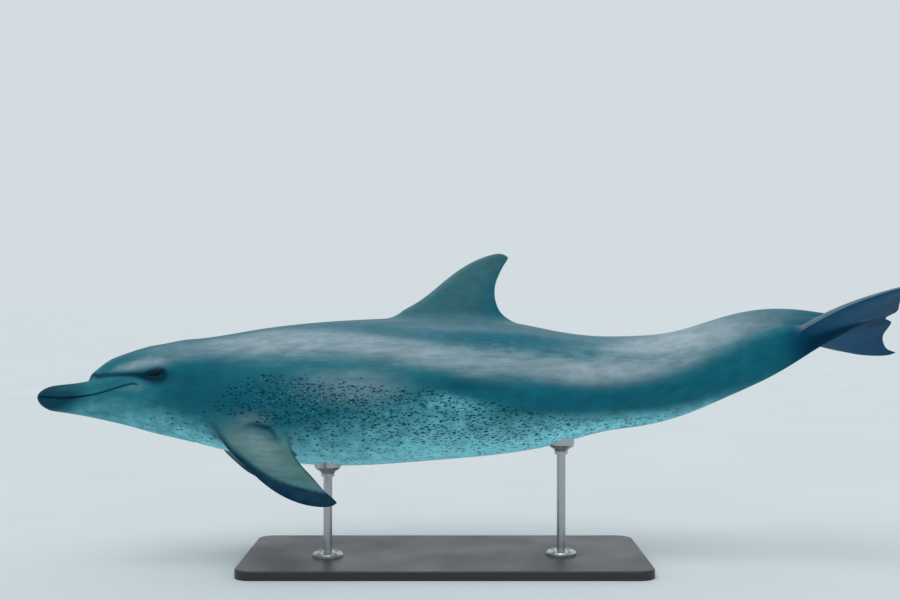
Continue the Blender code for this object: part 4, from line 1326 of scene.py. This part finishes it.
def brushed(name, light, dark, low, high, stretch):
    """Stainless steel brushed with a fine abrasive: short parallel lines that spread the light."""
    steel = Finish(name)
    place = steel.own_place()
    lay = add(steel.tree, "ShaderNodeMapping", {"Vector": place, "Scale": stretch})
    # Real brush lines are 0.1 mm apart; they are drawn about 1 mm apart so that they show.
    lines = steel.noise(lay, 1.0, 4.0, 0.7)
    smudge = steel.noise(place, 14.0, 3.0)
    shade = steel.mix(lines, colour(dark), colour(light))
    rough = steel.moved(steel.maths("ADD", lines, smudge), 0.7, 1.3, low, high)
    return steel.done(base_color=shade, metallic=1.0, roughness=rough,
                      normal=steel.uneven(lines, 0.12, 0.0003))


# ------------------------------------------------------------------ the skin and the eyes
skin = in_scene("dolphin_skin", skin_mesh("dolphin_skin", build_skin()))
skin.data.materials.append(skin_paint())
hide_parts(*FLESH_NODES)
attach(skin, "root")


CORNEA_RISE = 0.035                      # of the dome, over the ball's radius
CORNEA_REACH = 0.75                      # of the dome's rim, from its middle


def eyeball(side):
    """A ball that faces out of its socket, with a low dome over the iris."""
    centre, outward = eye_centre()
    outward = outward * (1, side, 1)
    centre = centre * (1, side, 1)
    aft = unit(np.array([1.0, 0, 0]) - outward * outward[0])
    up = np.cross(outward, aft)
    up *= np.sign(up[2])
    away = np.radians(np.concatenate([np.arange(4, 64, 4), np.arange(68, 180, 8)]))[:, None]
    around = np.radians(np.arange(0, 360, 10))[None, :]
    gaze = np.stack(np.broadcast_arrays(np.sin(away) * np.cos(around), np.sin(away) * np.sin(around),
                                        np.cos(away)), -1)
    gaze = np.concatenate([[[0, 0, 1.0]], gaze.reshape(-1, 3), [[0, 0, -1.0]]])
    from_middle = np.hypot(gaze[:, 0], gaze[:, 1]) + 2 * (gaze[:, 2] < 0)
    dome = 1 + CORNEA_RISE * (1 - smooth(from_middle, 0, CORNEA_REACH))
    places = centre + (gaze[:, :1] * aft + gaze[:, 1:2] * up + gaze[:, 2:] * outward) * (
        EYE_RADIUS * dome[:, None])
    count, rings = around.size, away.size
    faces, maps = [], []

    def flat(step, k):
        """Where a point lies on the flat map, with a margin around it."""
        return 0.03 + 0.94 * k / count, 0.97 - 0.94 * step / (rings + 1)

    for k in range(count):
        after = (k + 1) % count
        faces.append((0, 1 + k, 1 + after))
        maps += [flat(0, k + 0.5), flat(1, k), flat(1, k + 1)]
        for step in range(rings - 1):
            first = 1 + step * count
            faces.append((first + k, first + count + k, first + count + after, first + after))
            maps += [flat(step + 1, k), flat(step + 2, k), flat(step + 2, k + 1),
                     flat(step + 1, k + 1)]
        last = 1 + (rings - 1) * count
        faces.append((last + k, len(gaze) - 1, last + after))
        maps += [flat(rings, k), flat(rings + 1, k + 0.5), flat(rings, k + 1)]
    return smooth_mesh("eye", places, faces, maps, {"gaze": gaze})


acrylic = eye_glass()
for side, name in ((1, "left"), (-1, "right")):
    eye = in_scene("eyeball_" + name, eyeball(side))
    eye.data.materials.append(acrylic)
    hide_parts("eye_" + name)
    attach(eye, "root")

# ------------------------------------------------------------------ the stand
upright_steel = brushed("brushed_stainless_tube", "C9CBCC", "8E9193", 0.24, 0.40, (900, 900, 30))
turned_steel = brushed("turned_stainless", "C4C6C8", "94979A", 0.26, 0.42, (60, 60, 900))
lacquer = base_lacquer()
stand_finishes = {"stand_base": lacquer}
for end in ("front", "rear"):
    stand_finishes["stand_rod_" + end] = upright_steel
    stand_finishes["stand_flange_" + end] = turned_steel
    stand_finishes["stand_saddle_" + end] = turned_steel
for node, finish in stand_finishes.items():
    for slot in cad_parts[node].material_slots:
        slot.material = finish


SCREW_STEPS = 24


def screw_head():
    """A pan-head screw, 9 mm across, with a hexagon socket: upright, its seat at zero."""
    built = bmesh.new()
    rings = []
    angle = np.arange(SCREW_STEPS) * math.tau / SCREW_STEPS
    hexagon = math.cos(math.pi / 6) / np.cos((angle + math.pi / 6) % (math.pi / 3) - math.pi / 6)
    for radius, height, form in ((4.5, 0, 1), (4.5, 1.6, 1), (4.1, 2.4, 1), (3.2, 2.9, 1),
                                 (2.3, 3.0, hexagon), (2.2, 1.2, hexagon)):
        reach = radius * form * np.ones(SCREW_STEPS)
        rings.append([built.verts.new((x * MM, y * MM, height * MM))
                      for x, y in zip(reach * np.cos(angle), reach * np.sin(angle))])
    for low, high in zip(rings, rings[1:]):
        for k in range(SCREW_STEPS):
            after = (k + 1) % SCREW_STEPS
            built.faces.new((low[k], low[after], high[after], high[k]))
    built.faces.new(rings[-1])
    built.faces.new(rings[0][::-1])
    mesh = bpy.data.meshes.new("screw_head")
    built.to_mesh(mesh)
    built.free()
    return mesh


def screw_ring_tree():
    """Geometry Nodes: screws evenly around a circle."""
    tree = bpy.data.node_groups.new("screw_ring", "GeometryNodeTree")
    tree.interface.new_socket("Geometry", in_out="OUTPUT", socket_type="NodeSocketGeometry")
    for name, kind in (("Screw", "Object"), ("Screws", "Int"), ("Circle radius", "Float"),
                       ("Centre", "Vector"), ("Steel", "Material")):
        tree.interface.new_socket(name, in_out="INPUT", socket_type="NodeSocket" + kind)
    given = tree.nodes.new("NodeGroupInput").outputs
    ring = add(tree, "GeometryNodeMeshCircle", {"Vertices": given["Screws"],
                                                "Radius": given["Circle radius"]})
    turned = add(tree, "GeometryNodeTransform", {"Geometry": ring, "Translation": given["Centre"],
                                                 "Rotation": (0, 0, math.pi / 4)})
    screw = add(tree, "GeometryNodeObjectInfo", {"Object": given["Screw"]}, "Geometry")
    number = add(tree, "GeometryNodeInputIndex", {})
    twist = add(tree, "ShaderNodeMath", {0: number, 1: 0.7}, operation="MULTIPLY")
    spin = add(tree, "ShaderNodeCombineXYZ", {2: twist})
    placed = add(tree, "GeometryNodeInstanceOnPoints", {"Points": turned, "Instance": screw,
                                                        "Rotation": spin})
    solid = add(tree, "GeometryNodeRealizeInstances", {"Geometry": placed})
    made = add(tree, "GeometryNodeSetMaterial", {"Geometry": solid, "Material": given["Steel"]})
    tree.links.new(made, tree.nodes.new("NodeGroupOutput").inputs["Geometry"])
    return tree


screw = in_scene("screw", screw_head())
ring_tree = screw_ring_tree()
for end in ("front", "rear"):
    low, high = (np.array(corner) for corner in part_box("stand_flange_" + end))
    middle = (low + high) / 2
    carrier = in_scene("carrier", bpy.data.meshes.new("carrier"))
    modifier = carrier.modifiers.new("screws", "NODES")
    modifier.node_group = ring_tree
    wanted = {"Screw": screw, "Screws": 4, "Circle radius": (high[0] - low[0]) / 2 - 11 * MM,
              "Centre": (middle[0], middle[1], high[2]), "Steel": turned_steel}
    for item in ring_tree.interface.items_tree:
        if item.in_out == "INPUT":
            modifier[item.identifier] = wanted[item.name]
    shown = carrier.evaluated_get(bpy.context.evaluated_depsgraph_get())
    mesh = bpy.data.meshes.new_from_object(shown)
    bpy.data.objects.remove(carrier)
    screws = in_scene("flange_screws_" + end, mesh)
    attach(screws, "root")
bpy.data.objects.remove(screw)


# ------------------------------------------------------------------ floor, light and camera
def floor_paint():
    """Matt emulsion rolled on a smooth board: pale, nearly even, with a faint roller stipple."""
    paint = Finish("pale_matt_emulsion")
    place = paint.own_place()
    shade = paint.mix(paint.noise(place, 1.3, 3.0), colour("BCC2C5"), colour("C4C9CC"))
    grain = paint.uneven(paint.noise(place, 220.0), 0.1, 0.0004)
    return paint.done(base_color=shade, roughness=0.8, normal=grain, ior=1.45)


FLOOR = 300.0                            # half its width, far beyond what shows
CAMERA_PLACE = (0.014, -3.475, 0.7255)   # level, square to the animal's left side
LAMPS = (  # name, power, angular size in degrees, how it is turned
    ("key", 1.5, 45, (0.42, -0.25, 0)), ("fill", 0.4, 90, (-0.6, 0.4, 0)),
    ("bounce", 1.2, 90, (math.pi, 0, 0)),
)
floor_mesh = bpy.data.meshes.new("studio_floor")
floor_mesh.from_pydata([(-FLOOR, -FLOOR, 0), (FLOOR, -FLOOR, 0), (FLOOR, FLOOR, 0),
                        (-FLOOR, FLOOR, 0)], [], [(0, 1, 2, 3)])
floor_mesh.materials.append(floor_paint())
floor = in_scene("studio_floor", floor_mesh)

camera = in_scene("camera", bpy.data.cameras.new("camera"))
camera.data.lens = 50
camera.data.sensor_width = 36
camera.data.clip_end = 1000
camera.location = CAMERA_PLACE
camera.rotation_euler = (math.pi / 2, 0, 0)
bpy.context.scene.camera = camera

world = bpy.data.worlds.new("studio")
world.use_nodes = True
world.node_tree.nodes["Background"].inputs["Color"].default_value = colour("DDE6EA")
world.node_tree.nodes["Background"].inputs["Strength"].default_value = 0.9
bpy.context.scene.world = world
for name, power, spread, turn in LAMPS:
    lamp = bpy.data.lights.new(name, "SUN")
    lamp.energy = power
    lamp.angle = math.radians(spread)
    # The bounce comes up through the floor, as light off a wide pale floor would.
    lamp.use_shadow = name != "bounce"
    holder = in_scene(name, lamp)
    holder.rotation_euler = turn
bpy.context.scene.view_settings.view_transform = "Standard"
